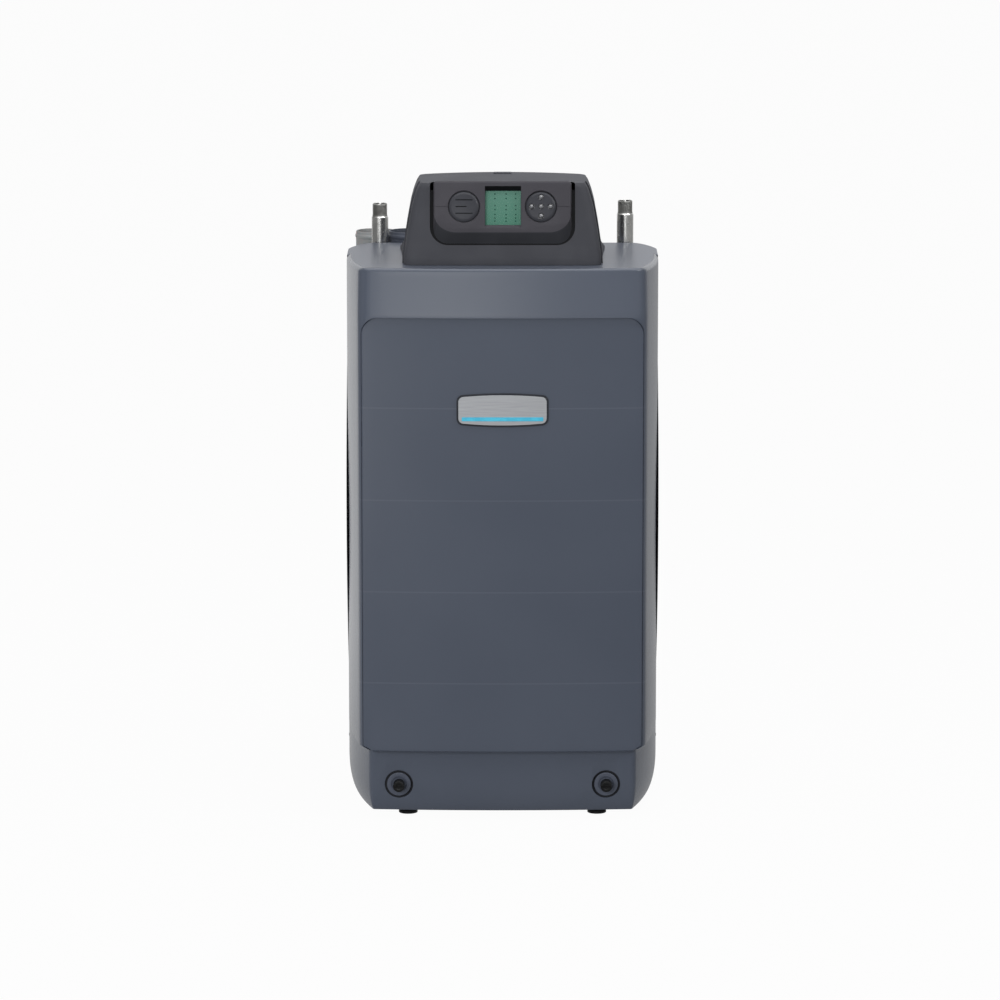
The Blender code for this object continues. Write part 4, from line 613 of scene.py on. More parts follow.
def softEdges(piece, width, segments=2, angle=30):
    bevel = piece.modifiers.new("soft edges", "BEVEL")
    bevel.width = width
    bevel.segments = segments
    bevel.limit_method = "ANGLE"
    bevel.angle_limit = math.radians(angle)
    bevel.use_clamp_overlap = True
    bevel.harden_normals = False
    return piece


def thicken(piece, thickness, offset=-1):
    wall = piece.modifiers.new("wall", "SOLIDIFY")
    wall.thickness, wall.offset, wall.use_even_offset = thickness, offset, True
    return piece


def cutWith(piece, cutter, operation="DIFFERENCE", folded=False):
    modifier = piece.modifiers.new("cut", "BOOLEAN")
    modifier.object = cutter
    modifier.operation = operation
    modifier.solver = "EXACT"
    modifier.use_self = folded
    return piece


# the evaluated shape becomes plain mesh; cutters are thrown away
def settle(piece, *cutters):
    bpy.context.view_layer.update()
    shape = bpy.data.meshes.new_from_object(piece.evaluated_get(bpy.context.evaluated_depsgraph_get()))
    piece.modifiers.clear()
    old = piece.data
    piece.data = shape
    bpy.data.meshes.remove(old)
    for cutter in cutters:
        bpy.data.objects.remove(cutter, do_unlink=True)
    return piece


def carve(piece, cutters):
    for cutter in cutters:
        cutWith(piece, cutter)
    return settle(piece, *cutters)


# where a round CAD node stands: its axis in plan, its lowest and highest point
def standing(node):
    low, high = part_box(node)
    return (low.x + high.x) / 2, (low.y + high.y) / 2, low.z, high.z


def keep(piece, body, slot, *nodes):
    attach(piece, body)
    if nodes:
        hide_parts(*nodes)
    return piece


# front cover: rings of a bowed, open-backed section, as the moulding tool gives it
cover = dict(wall=0.0028, bottom=0.014, topZ=0.878, halfWidth=0.2485, wingY=0.027966, minCorner=0.003,
             bow=0.010, bowHalf=0.219, browZ=0.8025, browY=-0.227, browHalf=0.2225, browCorner=0.018,
             topY=-0.212, topHalf=0.2215, topRadius=0.0060, flange=0.0008,
             dropFrom=0.205, drop=0.0095, dropLow=0.85, dropFade=0.02,
             shellY=-0.209, shellHalf=0.209, shellCorner=0.008, shellTop=0.10,
             sweep=0.050, sweepRise=0.047, sweepInset=0.014, sweepIn=0.55,
             lipZ=0.114, lipRise=0.007, lipStart=0.2065, lipUnder=0.0025,
             scallopLow=0.190, scallopHigh=0.720, scallopDepth=0.100, scallopPower=0.75,
             screwX=0.1636, screwZ=0.0574, cupHole=0.0224,
             window=0.0003, windowFront=-0.26, windowBack=-0.2012,
             recessLow=0.1165, recessHigh=0.8000, recessHalf=0.2145, recessColumns=20)


# the cabinet's top rounds off towards both sides
def topDrop(x, z):
    share = unit((abs(x) - cover["dropFrom"]) / (cover["halfWidth"] - cover["dropFrom"]))
    return cover["drop"] * share * share * unit((z - cover["dropLow"]) / cover["dropFade"])


def roundTop(piece):
    for vert in piece.data.vertices:
        vert.co.z -= topDrop(vert.co.x, vert.co.z)
    return piece


def bowAt(x):
    return cover["bow"] * (1 - (x / cover["bowHalf"]) ** 2)


# plan of a shell that is open on one side: straight flanks, rounded corners, a bowed closed side
def openSection(halfOpen, halfClosed, yOpen, yClosed, yEdge, corner, bowed=1, sides=12, turns=6, fronts=10):
    run = yOpen - yClosed
    start, stop = (yOpen - yEdge) / run, 1 - corner / abs(run)
    half = []
    for i in range(sides + 1):
        share = start + (stop - start) * i / sides
        half.append(Vector((-halfOpen + (halfOpen - halfClosed) * share * share, yOpen - run * share)))
    arcX = halfClosed - corner
    arcEnd = Vector((-arcX, yClosed - bowed * bowAt(arcX)))
    tip = Vector((-halfClosed, yClosed - bowed * bowAt(halfClosed)))
    arcStart = half[-1]
    for i in range(1, turns + 1):
        t = i / turns
        half.append(arcStart.lerp(tip, t).lerp(tip.lerp(arcEnd, t), t))
    for i in range(1, fronts + 1):
        x = arcX * (i / fronts - 1)
        half.append(Vector((x, yClosed - bowed * bowAt(x))))
    outline = half + [Vector((-p.x, p.y)) for p in reversed(half[:-1])]
    return outline if run > 0 else list(reversed(outline))


# how far the wing's rear edge is cut back at this height
def scallopAt(z):
    share = (z - cover["scallopLow"]) / (cover["scallopHigh"] - cover["scallopLow"])
    return cover["scallopDepth"] * math.sin(math.pi * share) ** cover["scallopPower"] if 0 < share < 1 else 0


def scallopHeights(count):
    low, high = cover["scallopLow"], cover["scallopHigh"]
    return [low + (high - low) * (1 - math.cos(math.pi * i / (count - 1))) / 2 for i in range(count)]


def coverRing(z, halfClosed, yClosed, corner, inset=0.0):
    outline = openSection(cover["halfWidth"] - inset, halfClosed - inset, cover["wingY"], yClosed + inset,
                          cover["wingY"] - scallopAt(z), max(corner - inset, cover["minCorner"]))
    return [Vector((p.x, p.y, z)) for p in outline]


def sweepAt(z):
    share = min((cover["bottom"] + cover["sweepRise"] - z) / cover["sweep"], 1)
    return cover["sweepInset"] * (1 - math.sqrt(max(1 - share * share, 0)))


# the moulding steps out above the lip, whose edge climbs at both corners
def lipRing(drop, half, y, corner):
    reach = cover["browHalf"] - cover["lipStart"]
    ring = coverRing(cover["lipZ"] - drop, half, y, corner)
    for p in ring:
        p.z += cover["lipRise"] * unit((abs(p.x) - cover["lipStart"]) / reach)
    return ring


def coverRings():
    rings = []
    narrow = cover["shellHalf"], cover["shellY"], cover["shellCorner"]
    wide = cover["browHalf"], cover["browY"], cover["browCorner"]
    for i in range(13):
        z = cover["bottom"] + cover["sweepRise"] * (1 - math.cos(math.pi / 2 * i / 12))
        half, y, corner = narrow
        rings.append(coverRing(z, half + sweepAt(z) * cover["sweepIn"], y, corner, sweepAt(z)))
    rings += [coverRing(cover["shellTop"], *narrow), lipRing(cover["lipUnder"], *narrow), lipRing(0, *wide)]
    for z in [0.145] + scallopHeights(41) + [0.745, 0.77, 0.79, cover["browZ"]]:
        rings.append(coverRing(z, *wide))
    for i in range(1, 9):
        share = i / 9
        z = cover["browZ"] + (cover["topZ"] - cover["topRadius"] - cover["browZ"]) * share
        rings.append(coverRing(z, cover["browHalf"] + (cover["topHalf"] - cover["browHalf"]) * share,
                               cover["browY"] + (cover["topY"] - cover["browY"]) * share, cover["browCorner"]))
    top = cover["topHalf"], cover["topY"], cover["browCorner"]
    for i in range(7):
        turn = math.pi / 2 * i / 6
        rings.append(coverRing(cover["topZ"] - cover["topRadius"] * (1 - math.sin(turn)), *top,
                               cover["topRadius"] * (1 - math.cos(turn))))
    rings.append(coverRing(cover["topZ"], *top, cover["topRadius"] + cover["flange"]))
    return rings


def buildCover():
    piece = thicken(meshPiece("coverMoulding", loftMesh(coverRings()), coverAbs), cover["wall"])
    cutters = [drillBit(cover["cupHole"], 0.01, -0.01, (sign * cover["screwX"], cupFaceY(), cover["screwZ"]),
                        (0, -1, 0), 96) for sign in (-1, 1)]
    outline = panelOutline(cover["window"])
    window = [[Vector((x, y, z)) for x, z in outline] for y in (cover["windowFront"], cover["windowBack"])]
    cutters.append(meshPiece("cutter", loftMesh(window, True, True, True)))
    carve(piece, cutters)
    softEdges(piece, 0.0005, 2, 40)
    settle(piece)
    roundTop(piece)
    shadeSmooth(piece, 42)
    keep(piece, "cover", "slate_cover", "front_cover")


# floor of the recess that the panel lies in
def buildRecess():
    rings = []
    count = cover["recessColumns"]
    for z in (cover["recessLow"], cover["recessHigh"]):
        columns = [x / count * cover["recessHalf"] for x in range(-count, count + 1)]
        front = [Vector((x, cover["shellY"] - bowAt(x), z)) for x in columns]
        rings.append(front + [Vector((p.x, p.y + cover["wall"], z)) for p in reversed(front)])
    floor = meshPiece("coverRecess", loftMesh(rings, True, True, True), coverAbs)
    softEdges(floor, 0.0004, 1, 50)
    shadeSmooth(floor, 40)
    keep(floor, "cover", "slate_cover")


def cupFaceY():
    return cover["shellY"] - bowAt(cover["screwX"])


# front panel: shallow tray with a lip, let into the cover's front
panel = dict(wall=0.0025, y=-0.222, back=0.0125, half=0.2200, bottom=0.114, top=0.8021, topRadius=0.026,
             edge=0.003, lipRise=0.007, lipInset=0.013)


# outline seen from the front, from the lower left corner round to the upper left
def panelOutline(margin):
    steps = 12
    half, radius = panel["half"] + margin, panel["topRadius"] + margin
    low, high = panel["bottom"] - margin, panel["top"] + margin * 0.5
    points = [(-half, low + panel["lipRise"]), (panel["lipInset"] - half, low), (half - panel["lipInset"], low),
              (half, low + panel["lipRise"])]
    for sign, start in ((1, 0), (-1, 90)):
        points += [(sign * (half - radius) + radius * math.cos(math.radians(start + 90 * i / steps)),
                    high - radius + radius * math.sin(math.radians(start + 90 * i / steps)))
                   for i in range(steps + 1)]
    return points


def buildPanel():
    def ring(z, half):
        outline = openSection(half, half, panel["y"] + panel["back"], panel["y"], panel["y"] + panel["back"],
                              panel["edge"], sides=3, turns=6, fronts=16)
        return [Vector((p.x, p.y, z)) for p in outline]
    rings = [ring(panel["bottom"], panel["half"] - panel["lipInset"]),
             ring(panel["bottom"] + panel["lipRise"], panel["half"])]
    rings += [ring(z, panel["half"]) for z in (0.2, 0.35, 0.5, 0.65)]
    for i in range(13):
        turn = math.pi / 2 * i / 12
        rings.append(ring(panel["top"] - panel["topRadius"] * (1 - math.sin(turn)),
                          panel["half"] - panel["topRadius"] * (1 - math.cos(turn))))
    piece = thicken(meshPiece("panelMoulding", loftMesh(rings, True, True), panelAbs), panel["wall"])
    settle(piece)
    softEdges(piece, 0.0007, 2, 40)
    shadeSmooth(piece, 40)
    keep(piece, "cover", "slate_cover", "front_panel")


buildCover()
buildRecess()
buildPanel()
print("cover and panel built")


# badge: dark rim, bare brushed face and a plain cyan line
badge = dict(z=0.658, half=0.0715, height=0.023, arch=0.0035, corner=0.009, back=-0.2323, plate=0.0022,
             rim=0.0028, stripeHalf=0.0635, stripeHeight=0.0031, stripeDrop=0.014, columns=48)


# a plate that follows the panel's bow, with an arched upper and lower edge
def archedPlate(name, half, height, arch, corner, backY, thickness, z, material):
    rings = []
    for i in range(badge["columns"] + 1):
        turn = math.pi * (i / badge["columns"] - 0.5)
        x = half * math.sin(turn)
        into = max(abs(x) - (half - corner), 0)
        tall = height + arch * (1 - (x / half) ** 2) - corner + math.sqrt(max(corner * corner - into * into, 0))
        y = backY - bowAt(x) + bowAt(0)
        rings.append([Vector((x, y, z - tall)), Vector((x, y - thickness, z - tall)),
                      Vector((x, y - thickness, z + tall)), Vector((x, y, z + tall))])
    piece = meshPiece(name, loftMesh(rings, True, True, True), material)
    softEdges(piece, min(thickness * 0.35, 0.0006), 2, 40)
    return shadeSmooth(piece)


def buildBadge():
    rim = archedPlate("badgeRim", badge["half"], badge["height"], badge["arch"], badge["corner"], badge["back"],
                      badge["plate"] - 0.0004, badge["z"], rimAndShadeAbs)
    keep(rim, "cover", "badge_silver", "badge_plate")
    face = archedPlate("badgeFace", badge["half"] - badge["rim"], badge["height"] - badge["rim"], badge["arch"],
                       badge["corner"] - badge["rim"] * 0.6, badge["back"] - badge["plate"] + 0.0006, 0.0006,
                       badge["z"], badgeMetal)
    keep(face, "cover", "badge_silver")
    stripe = archedPlate("badgeStripe", badge["stripeHalf"], badge["stripeHeight"], 0, 0.0012,
                         badge["back"] - badge["plate"] - 0.0001, 0.0005, badge["z"] - badge["stripeDrop"],
                         stripeInk)
    keep(stripe, "cover", "badge_cyan", "badge_stripe")


buildBadge()


# cup discs let into the lower front, and the knobs in them
forward = (0, -1, 0)
cup = dict(radius=0.0188, flangeRadius=0.0252, setback=0.0066, flange=0.002, bore=0.0036, wellDepth=0.0014,
           wellRadius=0.0105, wellMouth=0.0125)
knob = dict(radius=0.009, standoff=0.0012, length=0.018, stud=0.003, studLength=0.034, slot=0.002,
            slotDepth=0.0025, slotHalf=0.012, dish=0.0010, dishRadius=0.0040, mouth=0.0048,
            ribs=18, ribRadius=0.0010, ribRing=0.0096)


def buildCup(side, place):
    back = -cup["setback"] - cup["flange"]
    corners = [(cup["radius"], 0, 0.0012), (cup["radius"], -cup["setback"], 0.0008),
               (cup["flangeRadius"], -cup["setback"], 0), (cup["flangeRadius"], back, 0), (cup["bore"], back, 0),
               (cup["bore"], -cup["wellDepth"], 0), (cup["wellRadius"], -cup["wellDepth"], 0.0006),
               (cup["wellMouth"], 0, 0.0006)]
    disc = meshPiece("cupDisc" + side.title(), latheMesh(corners, place, forward, 96), cupAbs, rimAndShadeAbs)
    # the cup's side and flange, seen in the ring round it, take the dark rim colour: painted shade
    for polygon in disc.data.polygons:
        middle = polygon.center - Vector(place)
        polygon.material_index = 1 if Vector((middle.x, middle.z)).length > cup["radius"] * 0.99 else 0
    shadeSmooth(disc)
    keep(disc, "cover", "slate_cover", "screw_cup_" + side)


def buildKnob(side, place):
    top, tip = knob["standoff"] + knob["length"], -knob["studLength"]
    corners = [(0, top - knob["dish"], 0), (knob["dishRadius"], top - knob["dish"], 0.0004),
               (knob["mouth"], top, 0.0006), (knob["radius"], top, 0.0016),
               (knob["radius"], knob["standoff"], 0.0006), (knob["stud"], knob["standoff"], 0),
               (knob["stud"], tip + 0.001, 0), (knob["stud"] - 0.001, tip, 0), (0, tip, 0)]
    head = meshPiece("screwHead" + side.title(), latheMesh(corners, place, forward, 72, False), nylon)
    x, y, z = place[0], place[1] - top, place[2]
    cutters = [meshPiece("cutter", boxMesh((x - knob["slotHalf"], y - 0.01, z - knob["slot"] / 2),
                                           (x + knob["slotHalf"], y + knob["slotDepth"], z + knob["slot"] / 2)))]
    for i in range(knob["ribs"]):
        angle = math.tau * (i + 0.5) / knob["ribs"]
        spot = (x + math.cos(angle) * knob["ribRing"], place[1], z + math.sin(angle) * knob["ribRing"])
        cutters.append(drillBit(knob["ribRadius"], 0.02, 0.003, spot, forward, 8))
    carve(head, cutters)
    softEdges(head, 0.00025, 1, 40)
    shadeSmooth(head, 30)
    keep(head, "cover_screw_" + side, "black_plastic", "cover_screw_" + side)


def buildScrews():
    for side, sign in (("left", -1), ("right", 1)):
        place = (sign * cover["screwX"], cupFaceY(), cover["screwZ"])
        buildCup(side, place)
        buildKnob(side, place)


buildScrews()
print("badge and cover screws built")


# cabinet sheets
sheets = dict(thick=0.0015, sideBottom=0.062, shelfY=0.113, shelfZ=0.8495, rearY=0.2352, shut=0.0015,
              topShut=0.0003, topInset=0.00015, topCorner=0.0060, bends=8, bendPitch=0.0055,
              gripY=0.100, gripZ=0.567, tubHalf=0.052, tubHeight=0.0125, tubShut=0.0003)


def buildTopPanel():
    inset = cover["topRadius"] + cover["flange"] + sheets["topInset"]
    outline = openSection(cover["halfWidth"] - inset, cover["topHalf"] - inset, cover["wingY"],
                          cover["topY"] + inset, cover["wingY"], cover["browCorner"] - inset)
    points = [(p.x, p.y) for p in outline]
    y, narrow, wide = cover["wingY"] + sheets["topShut"], cover["halfWidth"] - inset, cover["halfWidth"]
    edge = sheets["topCorner"]
    for sign in (1, -1):
        arc = [(sign * (wide - edge + edge * math.sin(math.pi / 2 * i / 5)),
                sheets["shelfY"] - edge + edge * math.cos(math.pi / 2 * i / 5)) for i in range(6)]
        side = [(sign * narrow, y), (sign * wide, y)] + list(reversed(arc))
        points += side if sign > 0 else list(reversed(side))
    bm = slabMesh(points, (0, 0, cover["topZ"] - sheets["thick"]), (1, 0, 0), (0, 1, 0), sheets["thick"])
    # edges along which the sheet can follow the rounded top
    for i in range(-sheets["bends"], sheets["bends"] + 1):
        x = math.copysign(cover["dropFrom"] + (abs(i) - 1) * sheets["bendPitch"], i)
        if i:
            bmesh.ops.bisect_plane(bm, geom=bm.verts[:] + bm.edges[:] + bm.faces[:], plane_co=(x, 0, 0),
                                   plane_no=(1, 0, 0))
    piece = roundTop(meshPiece("topSheet", bm, topPaint))
    softEdges(piece, 0.0005, 3, 40)
    shadeSmooth(piece)
    keep(piece, "chassis", "slate_sheet", "top_panel")


def buildSides():
    heights = [sheets["sideBottom"]] + scallopHeights(61) + [cover["topZ"] - sheets["thick"] - sheets["topShut"]]
    outline = [(cover["wingY"] - scallopAt(z) + sheets["shut"], z) for z in heights]
    outline += [(sheets["shelfY"], heights[-1]), (sheets["shelfY"], sheets["shelfZ"]),
                (sheets["rearY"], sheets["shelfZ"]), (sheets["rearY"], sheets["sideBottom"])]
    for side, sign in (("left", -1), ("right", 1)):
        origin = (sign * cover["halfWidth"] - (sheets["thick"] if sign > 0 else 0), 0, 0)
        sheet = slabMesh(outline, origin, (0, 1, 0), (0, 0, 1), sheets["thick"])
        piece = meshPiece("sideSheet" + side.title(), sheet, blackPaint)
        y, z, shut = sheets["gripY"], sheets["gripZ"], sheets["tubShut"]
        hole = boxMesh((-0.26, y - sheets["tubHalf"] - shut, z - sheets["tubHeight"] - shut),
                       (0.26, y + sheets["tubHalf"] + shut, z + sheets["tubHeight"] + shut))
        roundTop(carve(piece, [meshPiece("cutter", hole)]))
        softEdges(piece, 0.0005, 2, 40)
        shadeSmooth(piece)
        keep(piece, "chassis", "black_sheet", side + "_side_panel")


# finger grips: a rounded frame with a tub let into the sheet
grip = dict(length=0.120, height=0.034, corner=0.009, flange=0.0022, depth=0.028, wall=0.002, standoff=0.0003,
            tubCorner=0.0035, innerCorner=0.003)


def buildGrips():
    rim = roundedOutline(grip["length"] / 2, grip["height"] / 2, grip["corner"], 8)
    tub = roundedOutline(sheets["tubHalf"], sheets["tubHeight"], grip["tubCorner"], 4)
    inside = roundedOutline(sheets["tubHalf"] - grip["wall"], sheets["tubHeight"] - grip["wall"],
                            grip["innerCorner"], 4)
    face = cover["halfWidth"] + grip["standoff"]
    slabs = (("gripFrame", rim, face, grip["flange"]),
             ("cutter", tub, face - grip["depth"], grip["depth"] + grip["flange"] / 2),
             ("cutter", inside, face - grip["depth"] + grip["wall"], grip["depth"] + 0.01))
    for side, sign in (("left", -1), ("right", 1)):
        piece, outer, inner = (
            meshPiece(name + side.title(), slabMesh(outline, (sign * out, sheets["gripY"], sheets["gripZ"]),
                                                    (0, sign, 0), (0, 0, 1), thickness), nylon)
            for name, outline, out, thickness in slabs)
        cutWith(piece, outer, "UNION")
        cutWith(piece, inner)
        settle(piece, outer, inner)
        softEdges(piece, 0.0006, 3, 35)
        shadeSmooth(piece)
        keep(piece, "chassis", "black_plastic", side + "_side_grip")


buildTopPanel()
buildSides()
buildGrips()
print("cabinet sheets built")


# Geometry Nodes: a tree with named inputs, run once and left as plain mesh
def newTree(name, *inputs):
    tree = bpy.data.node_groups.new(name, "GeometryNodeTree")
    tree.interface.new_socket("Geometry", in_out="INPUT", socket_type="NodeSocketGeometry")
    for label, kind, value in inputs:
        socket = tree.interface.new_socket(label, in_out="INPUT", socket_type="NodeSocket" + kind)
        if value is not None:
            socket.default_value = value
    tree.interface.new_socket("Geometry", in_out="OUTPUT", socket_type="NodeSocketGeometry")
    return tree, addNode(tree, "NodeGroupInput")


def endTree(tree, source, material):
    whole = addNode(tree, "GeometryNodeRealizeInstances", links={"Geometry": source})
    dressed = addNode(tree, "GeometryNodeSetMaterial", links={"Geometry": whole.outputs["Geometry"],
                                                              "Material": material})
    addNode(tree, "NodeGroupOutput", links={"Geometry": dressed.outputs["Geometry"]})
    return tree


def growPiece(name, tree, base=None, **inputs):
    piece = base or bpy.data.objects.new(name, bpy.data.meshes.new(name))
    if base is None:
        scene.collection.objects.link(piece)
    modifier = piece.modifiers.new(tree.name, "NODES")
    modifier.node_group = tree
    for item in tree.interface.items_tree:
        if item.in_out == "INPUT" and item.name in inputs:
            modifier[item.identifier] = inputs[item.name]
    return settle(piece)


# a real helix: each ring of the tube is moved in and out by its place in the pitch
# each row makes one value from the ones before it
threadSums = (
    ("around", "ADD", "x", 0.5), ("along", "ADD", "y", 0.5), ("angle", "MULTIPLY", "around", math.tau),
    ("up", "MULTIPLY", "along", "Height"), ("turns", "DIVIDE", "up", "Pitch"), ("phase", "ADD", "turns", "around"),
    ("fold", "PINGPONG", "phase", 0.5), ("wave", "MULTIPLY", "fold", 2.0),
    ("runIn", "MULTIPLY", "Pitch", 2.0), ("started", "DIVIDE", "up", "runIn"), ("fade", "MINIMUM", "started", 1.0),
    ("cutShare", "MULTIPLY", "wave", "fade"), ("cut", "MULTIPLY", "cutShare", "Depth"),
    ("end", "SUBTRACT", "Height", "up"), ("over", "SUBTRACT", "Chamfer", "end"), ("lean", "MAXIMUM", "over", 0.0),
    ("thread", "SUBTRACT", "Radius", "cut"), ("leant", "SUBTRACT", "thread", "lean"),
    ("off", "ABSOLUTE", "y"), ("tail", "GREATER_THAN", "off", 0.498), ("tuck", "MULTIPLY", "Depth", 1.6),
    ("tucked", "MULTIPLY", "tail", "tuck"), ("radius", "SUBTRACT", "leant", "tucked"),
    ("cosine", "COSINE", "angle"), ("sine", "SINE", "angle"),
    ("px", "MULTIPLY", "radius", "cosine"), ("py", "MULTIPLY", "radius", "sine"), ("pz", "ADD", "up", "Low"))


def buildThreadTree():
    tree, given = newTree("pipeThread", ("Radius", "Float", 0.0126), ("Depth", "Float", 0.0009),
                          ("Pitch", "Float", 0.0018), ("Low", "Float", 0.0), ("Height", "Float", 0.02),
                          ("Chamfer", "Float", 0.001), ("Place", "Vector", None), ("Material", "Material", None))
    grid = addNode(tree, "GeometryNodeMeshGrid", values={"Size X": 1.0, "Size Y": 1.0, "Vertices X": 73,
                                                         "Vertices Y": 121})
    position = addNode(tree, "GeometryNodeInputPosition")
    place = addNode(tree, "ShaderNodeSeparateXYZ", links={0: position.outputs[0]})
    sums = dict(x=place.outputs["X"], y=place.outputs["Y"])
    sums.update((name, given.outputs[name]) for name in ("Radius", "Depth", "Pitch", "Low", "Height", "Chamfer"))
    for name, operation, *terms in threadSums:
        numbers = {i: term for i, term in enumerate(terms) if not isinstance(term, str)}
        wired = {i: sums[term] for i, term in enumerate(terms) if isinstance(term, str)}
        sums[name] = addNode(tree, "ShaderNodeMath", values=numbers, links=wired, operation=operation).outputs[0]
    point = addNode(tree, "ShaderNodeCombineXYZ", links={0: sums["px"], 1: sums["py"], 2: sums["pz"]})
    moved = addNode(tree, "ShaderNodeVectorMath", links={0: point.outputs[0], 1: given.outputs["Place"]},
                    operation="ADD")
    tube = addNode(tree, "GeometryNodeSetPosition", links={"Geometry": grid.outputs["Mesh"],
                                                           "Position": moved.outputs[0]})
    sewn = addNode(tree, "GeometryNodeMergeByDistance", values={"Distance": 0.00001},
                   links={"Geometry": tube.outputs["Geometry"]})
    return endTree(tree, sewn.outputs["Geometry"], given.outputs["Material"])


# one fastener on every point, each turned a little differently about its own axis
def buildFastenerTree():
    tree, given = newTree("fastenersOnPoints", ("Fastener", "Object", None), ("Facing", "Vector", None),
                          ("Seed", "Int", 4), ("Material", "Material", None))
    model = addNode(tree, "GeometryNodeObjectInfo", links={"Object": given.outputs["Fastener"]})
    spin = addNode(tree, "FunctionNodeRandomValue", data_type="FLOAT", links={"Seed": given.outputs["Seed"]})
    spin.inputs[2].default_value, spin.inputs[3].default_value = 0.0, math.tau
    about = addNode(tree, "ShaderNodeCombineXYZ", links={2: spin.outputs[1]})
    face = addNode(tree, "FunctionNodeEulerToRotation", links={0: given.outputs["Facing"]})
    local = addNode(tree, "FunctionNodeEulerToRotation", links={0: about.outputs[0]})
    both = addNode(tree, "FunctionNodeRotateRotation", links={0: face.outputs[0], 1: local.outputs[0]},
                   rotation_space="LOCAL")
    spread = addNode(tree, "GeometryNodeInstanceOnPoints", links={"Points": given.outputs["Geometry"],
                                                                  "Instance": model.outputs["Geometry"],
                                                                  "Rotation": both.outputs[0]})
    return endTree(tree, spread.outputs["Instances"], given.outputs["Material"])


threadTree = buildThreadTree()
fastenerTree = buildFastenerTree()


# pan head with a cross recess, or a hexagon with a washer face; origin under the head
def screwModel(radius, height):
    head = meshPiece("fastener", latheMesh([(0, height, 0), (radius * 0.6, height, radius * 0.2),
                                            (radius * 0.95, height * 0.45, radius * 0.15), (radius, 0, 0),
                                            (0, 0, 0)], (0, 0, 0), (0, 0, 1), 24, False))
    wide, deep = radius * 0.11, height * 0.55
    cutters = [meshPiece("cutter", boxMesh(low, high)) for low, high in (
        ((-radius * 0.55, -wide, height - deep), (radius * 0.55, wide, height * 2)),
        ((-wide, -radius * 0.55, height - deep), (wide, radius * 0.55, height * 2)))]
    return carve(head, cutters)


def boltModel(radius, height):
    head = slabMesh(hexagonOutline(radius), (0, 0, height * 0.2), (1, 0, 0), (0, 1, 0), height * 0.8)
    washer = latheMesh([(0, height * 0.25, 0), (radius * 1.25, height * 0.25, height * 0.08),
                        (radius * 1.25, 0, 0), (0, 0, 0)], (0, 0, 0), (0, 0, 1), 24, False)
    piece = joinMeshes("fastener", [head, washer])
    softEdges(piece, height * 0.08, 1, 40)
    return settle(piece)


def fasteners(name, model, places, facing, body, slot, material, seed=4):
    mesh = bpy.data.meshes.new(name)
    mesh.from_pydata([tuple(place) for place in places], [], [])
    piece = bpy.data.objects.new(name, mesh)
    scene.collection.objects.link(piece)
    turn = Vector(facing).to_track_quat("Z", "Y").to_euler()
    growPiece(name, fastenerTree, piece, Fastener=model, Facing=tuple(turn), Seed=seed, Material=material)
    shadeSmooth(piece, 35)
    bpy.data.objects.remove(model, do_unlink=True)
    keep(piece, body, slot)


# control pod: two shells that meet on a leaning line, crowned over the top
pod = dict(base=0.8783, frontY=-0.181, rearY=0.053, height=0.125, run=0.026, rise=0.118, rearRun=0.063,
           topRound=0.008, depth=0.030, half=0.15407, step=0.0026, skirt=0.008, skirtHeight=0.016, corner=0.016,
           wall=0.0024, foot=0.0035, crown=0.0034, crownFrom=0.102, shut=0.0014,
           fronts=12, leanSteps=14, topSteps=3,
           tabHalf=0.014, tabLength=0.016, tabHeight=0.0024, tabInset=0.012)
# share of the height, share of the foot's half width
podWidths = ((0.0, 1.0), (0.13, 0.995), (0.40, 0.965), (0.68, 0.925), (0.84, 0.892), (0.94, 0.862), (1.0, 0.835))


def podLean(height):
    return unit((height - pod["foot"]) / (pod["rise"] - pod["foot"]))


def podOver(height):
    return max(height - pod["rise"], 0) / (pod["height"] - pod["rise"])


def podFront(height):
    return pod["frontY"] + pod["run"] * podLean(height) + pod["topRound"] * 0.55 * podOver(height) ** 2


def podRear(height):
    return pod["rearY"] - pod["rearRun"] * podLean(height) - pod["topRound"] * podOver(height) ** 2


def podShut(height):
    share = max(height - pod["foot"], 0) / (pod["rise"] - pod["foot"])
    return pod["frontY"] + pod["run"] * share + pod["depth"]


def podHalf(height):
    share = max(height - pod["foot"], 0) / (pod["height"] - pod["foot"])
    for (low, first), (high, last) in zip(podWidths, podWidths[1:]):
        if share <= high:
            return pod["half"] * (first + (last - first) * (share - low) / (high - low))
    return pod["half"] * podWidths[-1][1]


